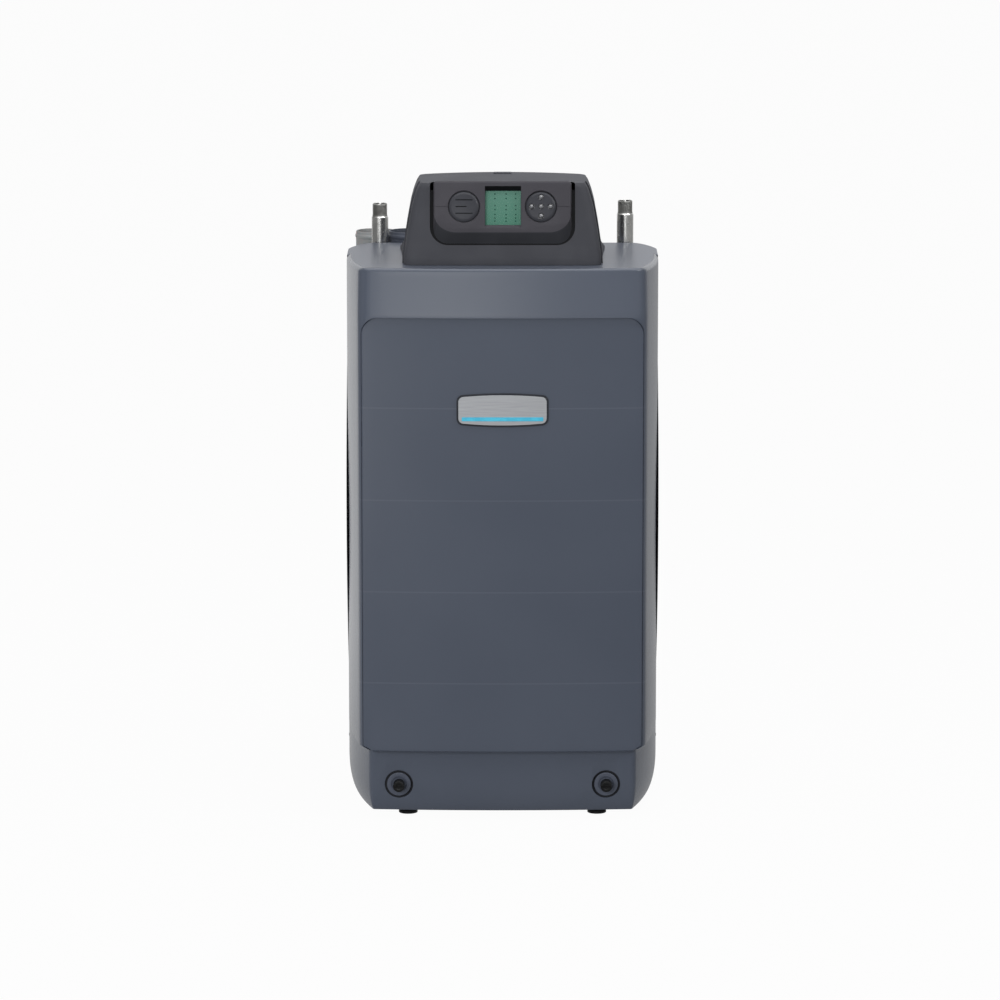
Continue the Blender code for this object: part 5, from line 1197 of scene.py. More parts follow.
def podShell(name, front):
    fronts, steps, topSteps = pod["fronts"], pod["leanSteps"], pod["topSteps"]
    heights = [0.0] + [pod["foot"] + (pod["rise"] - pod["foot"]) * i / steps for i in range(steps + 1)]
    heights += [pod["rise"] + (pod["height"] - pod["rise"]) * i / topSteps for i in range(1, topSteps + 1)]
    rings = []
    for height in heights:
        half, edge = podHalf(height), podShut(height)
        if front:
            outline = openSection(half, half, edge, podFront(height), edge, pod["corner"], 0, 6, 8, fronts)
        else:
            edge += pod["shut"] / 2
            flare = pod["skirt"] * max(1 - max(height - pod["foot"], 0) / pod["skirtHeight"], 0) ** 2
            outline = openSection(half + pod["step"], half + pod["step"] + flare, edge, podRear(height), edge,
                                  pod["corner"], 0, 12, 8, fronts)
        weight = ease(max(0, (height - pod["crownFrom"]) / (pod["height"] - pod["crownFrom"])))
        rings.append([Vector((p.x, p.y, pod["base"] + height + pod["crown"] * weight
                              * (1 - (p.x / half) ** 2) * (0.4 + 0.6 * weight))) for p in outline])
    bm = loftMesh(rings)
    # close the top with rows of the same crown
    last = rings[-1]
    count, half = len(last), podHalf(pod["height"])
    rows = []
    for i in range((count - 1) // 2 - fronts + 1):
        left, right = last[i], last[count - 1 - i]
        row = []
        for k in range(2 * fronts + 1):
            point = left.lerp(right, k / (2 * fronts))
            point.z = pod["base"] + pod["height"] + pod["crown"] * (1 - (point.x / half) ** 2)
            row.append(bm.verts.new(point))
        rows.append(row)
    for low, high in zip(rows, rows[1:]):
        for k in range(2 * fronts):
            bm.faces.new((low[k], low[k + 1], high[k + 1], high[k]))
    bmesh.ops.remove_doubles(bm, verts=bm.verts, dist=0.00002)
    bmesh.ops.recalc_face_normals(bm, faces=bm.faces)
    piece = meshPiece(name, bm, podAbs)
    outward = sum((face.normal.z * face.area for face in piece.data.polygons if face.center.z > 0.999), 0)
    if outward < 0:
        piece.data.flip_normals()
    return thicken(piece, pod["wall"])


# the tongue of the front shell, which laps behind the rear shell's edge all round
tongue = dict(reach=0.0042, clear=0.0003, thick=0.0012, rows=18, across=24)


def buildTongue():
    inset = pod["wall"] + tongue["clear"]
    top = pod["height"] - inset
    side = [top * i / tongue["rows"] for i in range(tongue["rows"] + 1)]
    points = [Vector((inset - podHalf(height), podShut(height), pod["base"] + height)) for height in side]
    half = podHalf(top) - inset
    for i in range(1, tongue["across"]):
        x = half * (2 * i / tongue["across"] - 1)
        points.append(Vector((x, podShut(top), pod["base"] + top + pod["crown"] * (1 - (x / half) ** 2))))
    points += [Vector((-p.x, p.y, p.z)) for p in reversed(points[:tongue["rows"] + 1])]
    bm = bmesh.new()
    rows = [[bm.verts.new(p + Vector((0, step * tongue["reach"], 0))) for step in (-1, 1)] for p in points]
    for low, high in zip(rows, rows[1:]):
        bm.faces.new((low[0], low[1], high[1], high[0]))
    bmesh.ops.recalc_face_normals(bm, faces=bm.faces)
    piece = meshPiece("podTongue", bm, podAbs)
    inward = -1 if any(face.normal.z > 0.5 for face in piece.data.polygons) else 1
    return thicken(piece, tongue["thick"], inward)


# the module's own frame: x across, y out of the leaning face, z up it
lean = math.atan2(pod["run"], pod["rise"] - pod["foot"])
module = dict(rise=0.0812, half=0.10754, height=0.049, proud=0.006, depth=0.027, wall=0.0056, side=0.003,
              sideGap=0.0056, lowGap=0.0026, topRadius=0.006, bottomRadius=0.023, faceInset=0.0017, faceTop=0.0044,
              faceLow=-0.0322, faceX=0.034, faceZ=0.027, chinSide=0.0019, chinSlope=0.0085, topRound=0.0045,
              groove=0.0011, flange=0.004, flangeDrop=0.014, keyX=0.060, keyZ=0.008, keyRadius=0.024,
              screenX=0.0008, screenZ=0.0077, screenHalf=0.0283, screenTall=0.0325, sill=0.0046, brow=0.0068,
              edgeSteps=6, faceCorner=0.003, chinFrom=0.012, topFrom=0.010, shellClear=0.0003, innerDepth=0.004,
              hollowSide=0.012, hollowLow=0.028, hollowTop=0.041, hollowCorner=0.020,
              wellClear=0.0006, wellMouth=0.0018, wellFlare=0.0014, grooveDepth=0.0009)
faceTurn = (Matrix.Translation((0, podFront(module["rise"]), pod["base"] + module["rise"]))
            @ Matrix.Rotation(-lean, 4, "X"))


def onFace(bm):
    bmesh.ops.transform(bm, matrix=faceTurn, verts=bm.verts)
    return bm


# outline with elliptical lower corners, from the bottom round to the right
def moduleOutline(wide, low, top, lowX, lowZ, small):
    corners = ((wide - lowX, low + lowZ, lowX, lowZ, -90), (wide - small, top - small, small, small, 0),
               (small - wide, top - small, small, small, 90), (lowX - wide, low + lowZ, lowX, lowZ, 180))
    steps = 12
    points = []
    for x, z, across, up, start in corners:
        turns = [math.radians(start + 90 * i / steps) for i in range(steps + 1)]
        points += [(x + across * math.cos(turn), z + up * math.sin(turn)) for turn in turns]
    return points


def bodyOutline(side=0.0, low=0.0, top=0.0):
    corner = module["bottomRadius"] + side
    return moduleOutline(module["half"] + side, -module["height"] - low, module["height"] + top, corner, corner,
                         max(module["topRadius"] + min(side, 0), 0.002))


def facePrism(name, outline, front, back):
    rings = [[Vector((x, y, z)) for x, z in outline] for y in (front, back)]
    return meshPiece(name, onFace(loftMesh(rings, True, True, True)))


def faceLathe(corners, x, z, steps):
    return onFace(latheMesh(corners, (x, 0, z), forward, steps, False))


def buildPod():
    front = podShell("podFrontShell", True)
    notch = facePrism("cutter", bodyOutline(module["sideGap"], module["lowGap"]), -0.02, 0.034)
    cutWith(front, notch, folded=True)
    settle(front, notch)
    softEdges(front, 0.0006, 2, 35)
    shadeSmooth(front, 38)
    keep(front, "chassis", "charcoal_plastic", "pod_front_housing")
    lap = shadeSmooth(settle(buildTongue()), 38)
    keep(lap, "chassis", "charcoal_plastic")
    rear = settle(podShell("podRearShell", False))
    softEdges(rear, 0.0006, 2, 35)
    shadeSmooth(rear, 38)
    keep(rear, "chassis", "charcoal_plastic", "pod_rear_housing")
    y = podRear(pod["height"]) - pod["tabInset"]
    top = pod["base"] + pod["height"] + pod["crown"]
    low, high = top - 0.004, top + pod["tabHeight"] - pod["crown"] * 0.2
    tab = meshPiece("podLiftTab", boxMesh((-pod["tabHalf"], y - pod["tabLength"], low), (pod["tabHalf"], y, high)),
                    podAbs)
    softEdges(tab, 0.0011, 3, 40)
    shadeSmooth(tab, 40)
    keep(tab, "chassis", "charcoal_plastic")


# the top edge is round, the chin slopes back flat from a crisp lower edge
def moduleRings(front, back):
    body = bodyOutline()
    face = moduleOutline(module["half"] - module["faceInset"], module["faceLow"],
                         module["height"] - module["faceTop"], module["faceX"], module["faceZ"],
                         module["faceCorner"])
    rings = [[Vector((x, back, z)) for x, z in body]]
    steps = module["edgeSteps"]
    for i in range(steps + 1):
        t, turn, ring = i / steps, math.pi / 2 * i / steps, []
        for (x, z), (fx, fz) in zip(body, face):
            rounded = unit((z + module["chinFrom"]) / module["chinFrom"])
            upper = unit((z - module["height"] + module["chinFrom"]) / module["topFrom"])
            deep = module["chinSide"] + (module["topRound"] - module["chinSide"]) * upper
            deep += (module["chinSlope"] - deep) * (1 - rounded)
            inward = (1 - math.cos(turn)) * rounded + t * (1 - rounded)
            outward = math.sin(turn) * rounded + t * (1 - rounded)
            ring.append(Vector((x + (fx - x) * inward, front + deep * (1 - outward), z + (fz - z) * inward)))
        rings.append(ring)
    return rings


def moduleFlange():
    behind = pod["wall"] + module["shellClear"]
    outline = bodyOutline(module["sideGap"] + module["flange"], module["lowGap"] + module["flange"],
                          -module["flangeDrop"])
    flange = facePrism("cutter", outline, behind, behind + module["side"])
    flange.data.materials.append(moduleAbs)
    flange.data.materials.append(shadeBlackAbs)
    # the whole flange is painted black: painted shade in the crevice round the module
    for polygon in flange.data.polygons:
        polygon.material_index = 1
    return flange


# the opening's upper edge slopes in as a brow, the lower one as a sill
def screenCutter(front):
    x, z, half, tall = (module[key] for key in ("screenX", "screenZ", "screenHalf", "screenTall"))
    rings = []
    for y, share in ((front - 0.003, -0.6), (front + 0.005, 1.0), (0.004, 1.0)):
        low, high = tall - module["sill"] * share, tall - module["brow"] * share
        outline = roundedOutline(half - 0.0006 * share, (low + high) / 2, 0.0012, 5, (x, z + (high - low) / 2))
        rings.append([Vector((px, y, pz)) for px, pz in outline])
    return meshPiece("cutter", onFace(loftMesh(rings, True, True, True)))


# round well for a key, and the groove from it to the module's side
def wellCutters(sign, front):
    mouth, bore = module["keyRadius"] + module["wellMouth"], module["keyRadius"] + module["wellClear"]
    hole = [(0, 0.02, 0), (mouth, 0.02, 0), (mouth, module["proud"] + 0.0001, 0),
            (bore, module["proud"] - module["wellFlare"], 0), (bore, -0.004, 0), (0, -0.004, 0)]
    near, far = sorted((sign * (module["keyX"] + module["keyRadius"] + 0.001), sign * 0.12))
    groove = boxMesh((near, front - 0.01, module["keyZ"] - module["groove"] / 2),
                     (far, front + module["grooveDepth"], module["keyZ"] + module["groove"] / 2))
    return [meshPiece("cutter", faceLathe(hole, sign * module["keyX"], module["keyZ"], 96)),
            meshPiece("cutter", onFace(groove))]


def buildModule():
    front, back = -module["proud"], -module["proud"] + module["depth"]
    rings = moduleRings(front, back)
    shell = meshPiece("displayModule", onFace(loftMesh(rings, True, True, True)), moduleAbs, shadeBlackAbs, chinShadeAbs)
    flange = moduleFlange()
    cutWith(shell, flange, "UNION")
    hollow = moduleOutline(module["half"] - module["hollowSide"], -module["hollowLow"], module["hollowTop"],
                           module["hollowCorner"], module["hollowCorner"], module["faceCorner"])
    cutters = [facePrism("cutter", bodyOutline(-module["side"], -module["side"], -module["side"]),
                         front + module["wall"] + module["innerDepth"], back + 0.01),
               facePrism("cutter", hollow, front + module["wall"], back), screenCutter(front)]
    for sign in (-1, 1):
        cutters += wellCutters(sign, front)
    for cutter in cutters:
        cutWith(shell, cutter)
    settle(shell, flange, *cutters)
    # the brow over the screen is painted black and the chin painted darker, both as painted shade
    x, z, half, tall = (module[key] for key in ("screenX", "screenZ", "screenHalf", "screenTall"))
    local = faceTurn.inverted()
    for polygon in shell.data.polygons:
        middle, normal = local @ polygon.center, local.to_3x3() @ polygon.normal
        if abs(middle.x - x) < half and 0 < z + tall - middle.z < module["brow"] + 0.002 and normal.z < -0.2:
            polygon.material_index = 1
        # the chin's lower faces take the darker chin colour: painted shade
        elif middle.z < -0.006 and middle.y < 0.0025 and normal.y < -0.2 and normal.z < -0.15:
            polygon.material_index = 2
    softEdges(shell, 0.0003, 2, 32)
    shadeSmooth(shell, 35)
    keep(shell, "chassis", "charcoal_plastic", "display_module")


buildPod()
buildModule()
print("pod and module built")


# screen: a window and the green cell close behind it
lcd = dict(half=0.0320, tall=0.0330, clear=0.0003, window=0.0015, cell=0.0080)


def buildScreen():
    x, z, half, tall = module["screenX"], module["screenZ"], lcd["half"], lcd["tall"]
    front = -module["proud"] + module["wall"] + lcd["clear"]
    back = front + lcd["window"]
    window = meshPiece("lcdWindow", onFace(boxMesh((x - half, front, z - tall), (x + half, back, z + tall))),
                       windowAcrylic)
    softEdges(window, 0.0003, 1)
    keep(window, "chassis", "lcd_glass", "lcd_window")
    front = back + lcd["clear"]
    back = front + lcd["cell"]
    cell = meshPiece("lcdCell", onFace(boxMesh((x - half, front, z - tall), (x + half, back, z + tall))),
                     cellGlass)
    softEdges(cell, 0.0004, 1)
    keep(cell, "chassis", "lcd_green", "lcd_panel")


# keys: a shallow dome with a rounded shoulder; three sunk bars on the left one
# each bar is given by its middle, across and up, and its half length
keys = dict(crown=0.0012, shoulder=0.0030, flange=0.002, menuProud=0.0012, padProud=0.0006,
            bars=((0.0, 0.0105, 0.0135), (-0.0045, 0.0, 0.0085), (0.0, -0.0105, 0.0135)),
            barHeight=0.0017, barCorner=0.0005, barDepth=0.0009,
            domePitch=0.0147, domeRadius=0.0035, domeProud=0.0026, domeHole=0.0010, domeFlange=0.0047, domeSteps=8)


def keyProfile(face):
    radius, inner = module["keyRadius"], module["proud"] - module["wall"] - module["shellClear"]
    crown = [(radius * share, face + keys["crown"] * (1 - share * share) - keys["crown"] * 0.5, 0)
             for share in (0, 0.2, 0.4, 0.6, 0.75)]
    return crown + [(radius * 0.85, face - 0.0004, 0.001), (radius * 0.965, face - 0.0022, 0.0008),
                    (radius, face - keys["shoulder"] - 0.0006, 0.0004), (radius, inner, 0),
                    (radius + keys["flange"], inner, 0), (radius + keys["flange"], inner - 0.0015, 0),
                    (0, inner - 0.0015, 0)]


def buildMenuKey():
    x, z = -module["keyX"], module["keyZ"]
    face = module["proud"] + keys["menuProud"]
    menu = meshPiece("menuKey", faceLathe(keyProfile(face), x, z, 96), keyAbs, markAbs)
    cutters = []
    for across, up, half in keys["bars"]:
        bar = roundedOutline(half, keys["barHeight"] / 2, keys["barCorner"], 4, (across, up))
        rings = [[Vector((px + x, y, pz + z)) for px, pz in bar] for y in (-face - 0.01, -face + keys["barDepth"])]
        cutters.append(meshPiece("cutter", onFace(loftMesh(rings, True, True, True)), markAbs))
    carve(menu, cutters)
    shadeSmooth(menu, 30)
    keep(menu, "menu_button", "charcoal_plastic", "menu_button")


def buildDome(name, x, z, face):
    radius, back, count = keys["domeRadius"], module["proud"] - module["wall"] - 0.0021, keys["domeSteps"]
    turns = [math.pi / 2 * i / count for i in range(count + 1)]
    dome = [(radius * math.sin(turn), face + keys["domeProud"] * math.cos(turn), 0) for turn in turns]
    dome += [(radius, back, 0), (keys["domeFlange"], back, 0), (keys["domeFlange"], back - 0.003, 0),
             (0, back - 0.003, 0)]
    key = shadeSmooth(meshPiece("navDome" + name.title(), faceLathe(dome, x, z, 48), domeGloss), 40)
    keep(key, "nav_" + name, "gloss_key", "nav_" + name)


def buildKeys():
    buildMenuKey()
    face = module["proud"] + keys["padProud"]
    pad = meshPiece("navPad", faceLathe(keyProfile(face), module["keyX"], module["keyZ"], 96), keyAbs)
    bore = keys["domeRadius"] + keys["domeHole"]
    hole = [(0, 0.02, 0), (bore, 0.02, 0), (bore, -0.005, 0), (0, -0.005, 0)]
    cutters = []
    for name, across, up in (("up", 0, 1), ("down", 0, -1), ("left", -1, 0), ("right", 1, 0), ("ok", 0, 0)):
        x, z = module["keyX"] + across * keys["domePitch"], module["keyZ"] + up * keys["domePitch"]
        cutters.append(meshPiece("cutter", faceLathe(hole, x, z, 48)))
        buildDome(name, x, z, face)
    carve(pad, cutters)
    softEdges(pad, 0.0002, 1, 40)
    shadeSmooth(pad, 30)
    keep(pad, "chassis", "charcoal_plastic", "nav_pad")


buildScreen()
buildKeys()
print("screen and keys built")


# water and gas stubs: a pipe end with a real thread on its upper part
stub = dict(thread=0.0205, taper=0.00125, pitch=0.00181, depth=0.0010, neck=0.0016,
            waterBore=0.0105, gasBore=0.008)


def buildStub(name, node, bore):
    x, y, low, top = standing(node)
    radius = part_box(node)[1].x - x
    threadRadius = radius - stub["taper"]
    threadLow = top - stub["thread"]
    core = threadRadius - stub["depth"] * 1.02
    corners = [(bore, top, 0.0005), (core, top, 0), (core, threadLow, 0), (radius - 0.0008, threadLow, 0),
               (radius, threadLow - stub["neck"], 0.0008), (radius, low, 0), (bore, low, 0)]
    piece = meshPiece(name, latheMesh(corners, (x, y, 0), (0, 0, 1), 72, True, 3), pipeSteel)
    keep(shadeSmooth(piece, 35), "chassis", "steel_pipe", node)
    thread = growPiece(name + "Thread", threadTree, Radius=threadRadius, Depth=stub["depth"], Pitch=stub["pitch"],
                       Low=threadLow, Height=stub["thread"] - 0.0001, Chamfer=0.0012, Place=(x, y, 0),
                       Material=threadSteel)
    keep(shadeSmooth(thread, 50), "chassis", "steel_pipe")


def buildStubs():
    buildStub("supplyStub", "supply_nipple", stub["waterBore"])
    buildStub("returnStub", "return_nipple", stub["waterBore"])
    buildStub("gasStub", "gas_inlet", stub["gasBore"])


# grommets: a lip over the sheet with a rolled edge
def buildGrommets():
    bore = 0.01365
    for side, node in (("Left", "supply_grommet"), ("Right", "return_grommet")):
        x, y, low, high = standing(node)
        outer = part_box(node)[1].x - x
        corners = [(bore, high, 0.0010), (outer, high, 0.0014), (outer, low, 0.0003), (bore, low, 0)]
        piece = meshPiece("pipeGrommet" + side, latheMesh(corners, (x, y, 0), (0, 0, 1), 72), rubber)
        keep(shadeSmooth(piece), "chassis", "black_rubber", node)


# flue collars: moulded sleeve with a bead under its mouth and a seal in its groove
collar = dict(radius=0.033, bore=0.0302, stopBore=0.027, stop=0.016, bead=0.0011, foot=0.0022, groove=0.008,
              grooveDepth=0.0018, seal=0.003, sealClear=0.0002)


def buildCollar(name, node, material, slot):
    x, y, low, top = standing(node)
    radius, bore = collar["radius"], collar["bore"]
    bead, foot, deep = radius + collar["bead"], radius + collar["foot"], bore + collar["grooveDepth"]
    groove = top - collar["groove"]
    grooveLow = groove - collar["seal"]
    corners = [(bore + 0.0004, top, 0.0006), (radius - 0.0004, top, 0.0008), (radius, top - 0.0045, 0.0004),
               (bead, top - 0.0062, 0.0008), (bead, top - 0.0096, 0.0008), (radius, top - 0.0112, 0.0004),
               (radius, low + 0.0035, 0.0008), (foot, low + 0.0022, 0.0004), (foot, low, 0.0003),
               (collar["stopBore"], low, 0), (collar["stopBore"], low + collar["stop"], 0.0005),
               (bore, low + collar["stop"], 0), (bore, grooveLow, 0), (deep, grooveLow, 0), (deep, groove, 0),
               (bore, groove, 0)]
    piece = meshPiece(name, latheMesh(corners, (x, y, 0), (0, 0, 1), 96, True, 3), material)
    keep(shadeSmooth(piece, 35), "chassis", slot, node)
    clear = collar["sealClear"]
    corners = [(bore + 0.0001, groove - clear, 0.0003), (bore + 0.0017, groove - clear, 0),
               (bore + 0.0017, grooveLow + clear, 0), (bore + 0.0001, grooveLow + clear, 0.0003)]
    seal = meshPiece(name + "Seal", latheMesh(corners, (x, y, 0), (0, 0, 1), 96, True, 2), rubber)
    keep(shadeSmooth(seal, 35), "chassis", "black_rubber")


# cable gland: hexagon base and a fluted cap
gland = dict(hexRadius=0.0112, hexHeight=0.0055, bore=0.0045, mouth=0.0078, radius=0.0098, shoulder=0.0105,
             flutes=16, fluteRing=0.0096, fluteRadius=0.0008)


def buildGland():
    x, y, low, high = standing("cable_gland")
    seat, bore, radius, flute = low + gland["hexHeight"], gland["bore"], gland["radius"], gland["fluteRadius"]
    base = slabMesh(hexagonOutline(gland["hexRadius"], x, y), (0, 0, low), (1, 0, 0), (0, 1, 0),
                    gland["hexHeight"])
    corners = [(bore, high, 0.0008), (gland["mouth"], high, 0.0016), (radius, low + gland["shoulder"], 0.001),
               (radius, seat, 0.0004), (bore, seat, 0)]
    parts = [base, latheMesh(corners, (x, y, 0), (0, 0, 1), 64, True, 3)]
    corners = [(0, low + 0.0128, 0), (flute, low + 0.0122, 0), (flute, low + 0.006, 0), (0, seat, 0)]
    for i in range(gland["flutes"]):
        angle = math.tau * i / gland["flutes"]
        place = (x + gland["fluteRing"] * math.cos(angle), y + gland["fluteRing"] * math.sin(angle), 0)
        parts.append(latheMesh(corners, place, (0, 0, 1), 8, False))
    piece = joinMeshes("cableGland", parts, nylon)
    carve(piece, [drillBit(bore, high + 0.01, low - 0.01, (x, y, 0), steps=48)])
    keep(shadeSmooth(piece, 35), "chassis", "black_plastic", "cable_gland")


buildStubs()
buildGrommets()
buildCollar("ventCollar", "vent_collar", greyPp, "grey_plastic")
buildCollar("airCollar", "air_inlet_collar", collarAbs, "slate_cover")
buildGland()
print("connections built")


# levelling feet: moulded pad, hexagon, rolled stud
foot = dict(padProfile=((0, 0.0095, 0), (0.006, 0.0095, 0), (0.0105, 0.0082, 0.002), (0.015, 0.0040, 0.0015),
                        (0.015, 0.0, 0.0008), (0, 0.0, 0)),
            hexRadius=0.009, hexLow=0.0085, hexHeight=0.0042, stud=0.0048, studTip=0.0042, studLow=0.010)


def buildFeet():
    for name in ("front_left", "front_right", "rear_left", "rear_right"):
        x, y, low, high = standing("foot_" + name)
        ending = name.title().replace("_", "")
        pad = meshPiece("footPad" + ending, latheMesh(foot["padProfile"], (x, y, low), (0, 0, 1), 64, False),
                        nylon)
        keep(shadeSmooth(pad, 40), "foot_" + name, "black_plastic", "foot_" + name)
        hexagon = slabMesh(hexagonOutline(foot["hexRadius"], x, y), (0, 0, low + foot["hexLow"]), (1, 0, 0),
                           (0, 1, 0), foot["hexHeight"])
        corners = [(0, high, 0), (foot["studTip"], high, 0), (foot["stud"], high - 0.0008, 0),
                   (foot["stud"], low + foot["studLow"], 0), (0, low + foot["studLow"], 0)]
        stem = joinMeshes("footStud" + ending, [hexagon, latheMesh(corners, (x, y, 0), (0, 0, 1), 32, False)],
                          screwZinc)
        softEdges(stem, 0.0003, 1, 40)
        keep(shadeSmooth(stem, 35), "foot_" + name, "steel_pipe")


buildFeet()


# rear shelf: folded sheet whose riser follows the rounded top
rear = dict(front=0.1122, back=0.2352, low=0.8480, high=0.8762, half=0.2467, sheet=0.0015, columns=24,
            holes=(("supply_nipple", 0.0137), ("return_nipple", 0.0137), ("gas_inlet", 0.0110),
                   ("cable_gland", 0.0046), ("vent_collar", 0.0280), ("air_inlet_collar", 0.0280)),
            floor=0.020, floorHalf=0.228, faceY=0.2369, wall=0.0013, columnHalf=50, rowLow=0.1095, rowPitch=0.005,
            rows=149, screwX=0.2395, fieldDepth=0.0022, fieldEdge=0.010, screw=0.0036, screwHeight=0.0019,
            sideScrew=0.0034, sideScrewHeight=0.0018,
            fields=((-0.214, -0.012, 0.115, 0.455), (0.012, 0.214, 0.115, 0.455),
                    (-0.214, -0.012, 0.485, 0.815), (0.012, 0.214, 0.485, 0.815)))


def buildShelf():
    front, back, low, high, sheet = (rear[key] for key in ("front", "back", "low", "high", "sheet"))
    rings = []
    for i in range(-rear["columns"], rear["columns"] + 1):
        x = rear["half"] * math.sin(math.pi / 2 * i / rear["columns"])
        top = high - topDrop(x, high)
        rings.append([Vector((x, y, z)) for y, z in ((front, top), (front, low), (back, low), (back, low + sheet),
                                                     (front + sheet, low + sheet), (front + sheet, top))])
    shelf = meshPiece("rearShelf", loftMesh(rings, True, True, True), blackPaint)
    cutters = []
    for node, radius in rear["holes"]:
        x, y = standing(node)[:2]
        cutters.append(drillBit(radius, 0.01, -0.01, (x, y, low)))
    carve(shelf, cutters)
    softEdges(shelf, 0.0004, 2, 40)
    keep(shadeSmooth(shelf), "chassis", "zinc_sheet", "rear_shelf")


# rear panel: four pressed fields, screwed on all round
def fieldDepth(x, z):
    deep = 0
    for left, right, low, high in rear["fields"]:
        inside = min(x - left, right - x, z - low, high - z) / rear["fieldEdge"]
        deep = max(deep, rear["fieldDepth"] * ease(unit(inside)))
    return deep


def buildRear():
    rings = []
    wide, knee, floor, count = cover["halfWidth"], sheets["sideBottom"], rear["floor"], rear["columnHalf"]
    heights = [floor, (floor + knee) / 2, knee, 0.09]
    heights += [rear["rowLow"] + rear["rowPitch"] * i for i in range(rear["rows"])]
    for z in heights:
        half = rear["floorHalf"] + (wide - rear["floorHalf"]) * min((z - floor) / (knee - floor), 1)
        columns = [half * i / count for i in range(-count, count + 1)]
        rings.append([Vector((x, rear["faceY"] - fieldDepth(x, z), z)) for x in columns])
    piece = meshPiece("rearSheet", loftMesh(rings), zinc)
    if sum(face.normal.y for face in piece.data.polygons) < 0:
        piece.data.flip_normals()
    settle(thicken(piece, rear["wall"]))
    softEdges(piece, 0.0004, 1, 50)
    keep(shadeSmooth(piece, 40), "chassis", "zinc_sheet", "rear_panel")


def buildRearScrews():
    edge, face = rear["screwX"], rear["faceY"]
    places = [(x, face, z) for x in (-edge, edge) for z in (0.085, 0.235, 0.385, 0.535, 0.685, 0.838)]
    places += [(x, face, z) for x in (-0.16, -0.08, 0.0, 0.08, 0.16) for z in (0.029, 0.8420)]
    fasteners("rearScrews", screwModel(rear["screw"], rear["screwHeight"]), places, (0, 1, 0), "chassis",
              "zinc_sheet", screwZinc)
    for name, sign in (("leftScrews", -1), ("rightScrews", 1)):
        places = [(sign * cover["halfWidth"], y, z) for y, z in ((0.224, 0.110), (0.224, 0.340), (0.224, 0.600),
                                                                 (0.224, 0.830), (0.060, 0.078))]
        fasteners(name, screwModel(rear["sideScrew"], rear["sideScrewHeight"]), places, (sign, 0, 0), "chassis",
                  "black_sheet", nylon, 7)


# inside: ribbed casting with its bolted plate, fan bolts, motor, union nuts
core = dict(low=(-0.1460, -0.1210, 0.2300), high=(0.1460, 0.0910, 0.6400), rib=0.0045, pitch=0.0185, proud=0.0040,
            band=0.010, ribEnd=0.005, ribRoot=0.01, ribInset=0.006, plateHalf=0.106, plateTall=0.150, plateZ=0.435,
            plateGap=0.0025, plate=0.0065, ribsFrom=0.112)
fan = dict(x=0.015, z=0.750, ring=0.0785, bolts=8, motorRadius=0.045, ribStart=0.012, ribPitch=0.0065,
           ribWidth=0.0035, ribDepth=0.0030, ribs=5)


def castingParts(low, high):
    out, rib, band, end = core["proud"], core["rib"], core["band"], core["ribEnd"]
    root, inset = core["ribRoot"], core["ribInset"]
    parts = [boxMesh(low, high),
             boxMesh(low - Vector((out, out, 0)), Vector((high.x + out, high.y + out, low.z + band))),
             boxMesh(Vector((low.x - out, low.y - out, high.z - band)), high + Vector((out, out, 0))),
             slabMesh(roundedOutline(core["plateHalf"], core["plateTall"], 0.018),
                      (0, low.y - out - core["plateGap"], core["plateZ"]), (1, 0, 0), (0, 0, 1), -core["plate"])]
    count = int((high.x - low.x) / core["pitch"])
    for i in range(count + 1):
        x = low.x + inset + (high.x - low.x - inset * 2) * i / count
        parts.append(boxMesh((x - rib / 2, high.y - root, low.z + end), (x + rib / 2, high.y + out, high.z - end)))
        if abs(x) > core["ribsFrom"]:
            parts.append(boxMesh((x - rib / 2, low.y - out, low.z + end),
                                 (x + rib / 2, low.y + root, high.z - end)))
    count = int((high.y - low.y) / core["pitch"])
    for i in range(count + 1):
        y = low.y + inset + (high.y - low.y - inset * 2) * i / count
        for sign in (-1, 1):
            near, far = sorted((sign * (high.x - root), sign * (high.x + out)))
            parts.append(boxMesh((near, y - rib / 2, low.z + end), (far, y + rib / 2, high.z - end)))
    return parts


def buildExchanger():
    low, high = Vector(core["low"]), Vector(core["high"])
    piece = joinMeshes("exchangerCasting", castingParts(low, high), castAlloy)
    softEdges(piece, 0.0010, 2, 40)
    settle(piece)
    keep(shadeSmooth(piece), "chassis", "cast_alloy", "heat_exchanger")
    y = low.y - core["proud"] - core["plateGap"]
    places = [(x, y, z) for x in (-0.097, 0.097) for z in (0.305, 0.370, 0.435, 0.500, 0.565)]
    places += [(x, y, z) for x in (-0.048, 0.0, 0.048) for z in (0.294, 0.576)]
    fasteners("coverBolts", boltModel(0.0050, 0.0042), places, forward, "chassis", "steel_pipe", screwZinc, 2)
    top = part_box("burner_plate")[1].z
    places = [(x, y, top) for x in (-0.146, 0.146) for y in (-0.116, -0.020, 0.036, 0.086)]
    places += [(x, y, top) for x in (-0.090, -0.030, 0.030, 0.090) for y in (-0.116, 0.086)]
    fasteners("plateBolts", boltModel(0.0055, 0.0045), places, (0, 0, 1), "chassis", "steel_pipe", screwZinc, 3)


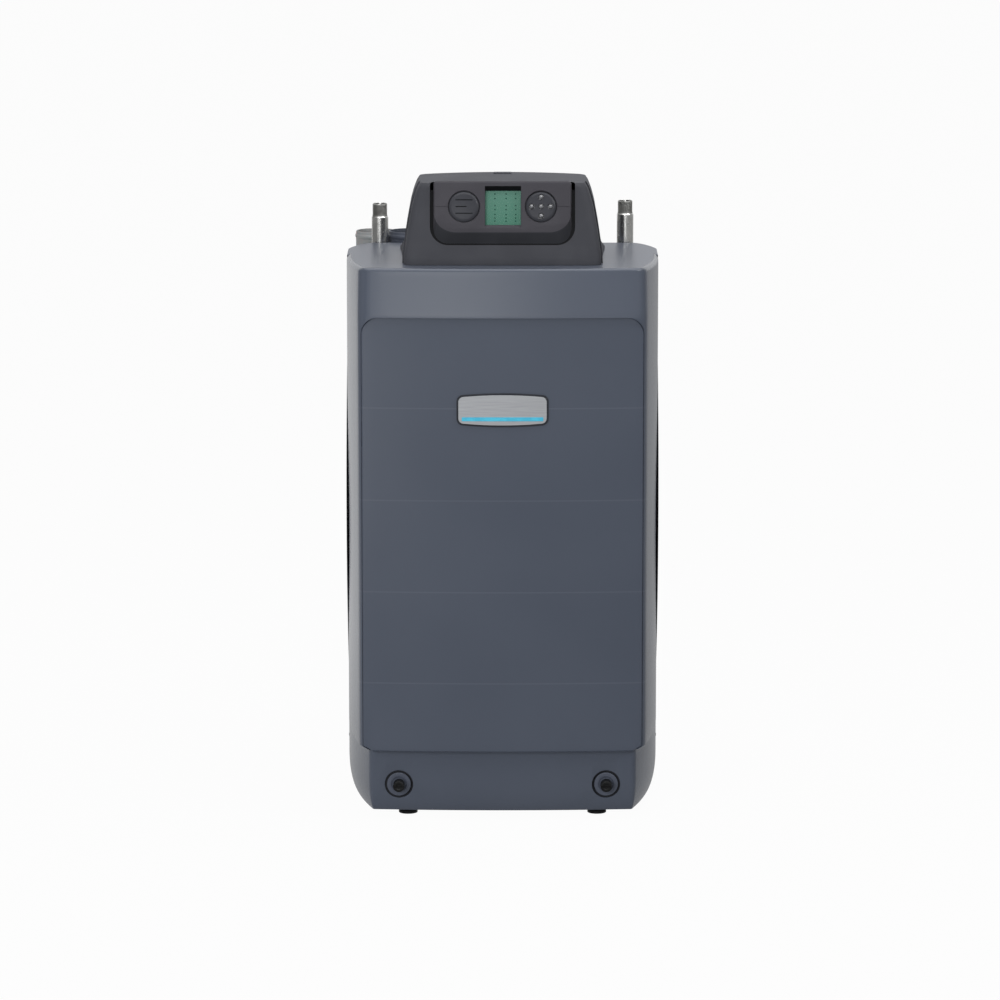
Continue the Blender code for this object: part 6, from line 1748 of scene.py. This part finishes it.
def buildFanDetail():
    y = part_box("blower_housing")[0].y
    angles = [math.tau * (i + 0.5) / fan["bolts"] for i in range(fan["bolts"])]
    places = [(fan["x"] + fan["ring"] * math.cos(angle), y, fan["z"] + fan["ring"] * math.sin(angle))
              for angle in angles]
    fasteners("fanBolts", boltModel(0.0036, 0.0030), places, forward, "chassis", "steel_pipe", screwZinc, 5)
    low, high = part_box("blower_motor")
    radius, length = fan["motorRadius"], high.y - low.y
    groove = radius - fan["ribDepth"]
    corners = [(0, 0, 0), (radius, 0, 0.0015), (radius, fan["ribStart"], 0)]
    for i in range(fan["ribs"]):
        start = fan["ribStart"] + i * fan["ribPitch"]
        corners += [(groove, start, 0), (groove, start + fan["ribWidth"], 0), (radius, start + fan["ribWidth"], 0),
                    (radius, start + fan["ribPitch"], 0)]
    corners += [(radius - 0.001, length - 0.006, 0.001), (radius - 0.006, length, 0.003), (0.014, length, 0.001),
                (0.012, length - 0.003, 0.001), (0, length - 0.003, 0)]
    motor = meshPiece("fanMotor", latheMesh(corners, (fan["x"], low.y, fan["z"]), (0, 1, 0), 72, False), nylon)
    keep(shadeSmooth(motor), "chassis", "black_plastic", "blower_motor")


# union nut under each stub, with its sleeve
def buildUnions():
    for name, node, radius in (("supplyUnion", "supply_nipple", 0.0134), ("returnUnion", "return_nipple", 0.0134),
                               ("gasUnion", "gas_inlet", 0.0108)):
        place = standing(node)[:3]
        bore, outer = radius + 0.0002, radius * 1.46
        nut = [(bore, 0.013, 0), (outer, 0.013, 0.0015), (outer, -0.013, 0.0015), (bore, -0.013, 0)]
        sleeve = [(bore, -0.011, 0), (outer * 0.86, -0.011, 0.001), (outer * 0.86, -0.022, 0.002),
                  (bore, -0.022, 0)]
        parts = [latheMesh(nut, place, (0, 0, 1), 6), latheMesh(sleeve, place, (0, 0, 1), 48)]
        keep(shadeSmooth(joinMeshes(name, parts, brass), 35), "chassis", "copper_pipe")


buildShelf()
buildRear()
buildRearScrews()
buildExchanger()
buildFanDetail()
buildUnions()
print("rear and inside built")


# CAD nodes whose shape is right get better materials
finishes = {"base_tray": zinc, "screw_rail": zinc, "hx_stand": zinc,
            "burner_plate": plateAlloy, "flue_sump": castAlloy, "supply_pipe": copper,
            "return_pipe": copper, "gas_pipe": pipeSteel, "gas_valve": castAlloy, "igniter": ceramic,
            "blower_housing": castAlloy, "blower_impeller": plateAlloy,
            "air_intake_duct": nylon, "flue_pipe": whitePp, "condensate_trap": greyPp, "condensate_hose": greyPp,
            "control_box": zinc, "control_board": boardGreen, "display_board": boardGreen}


def dressNodes():
    for name, material in finishes.items():
        node = frame["nodes"][name]
        for holder in [node] + list(node.children):
            for slot in holder.material_slots:
                slot.link = "OBJECT"
                slot.material = material


dressNodes()
print("all pieces dressed")
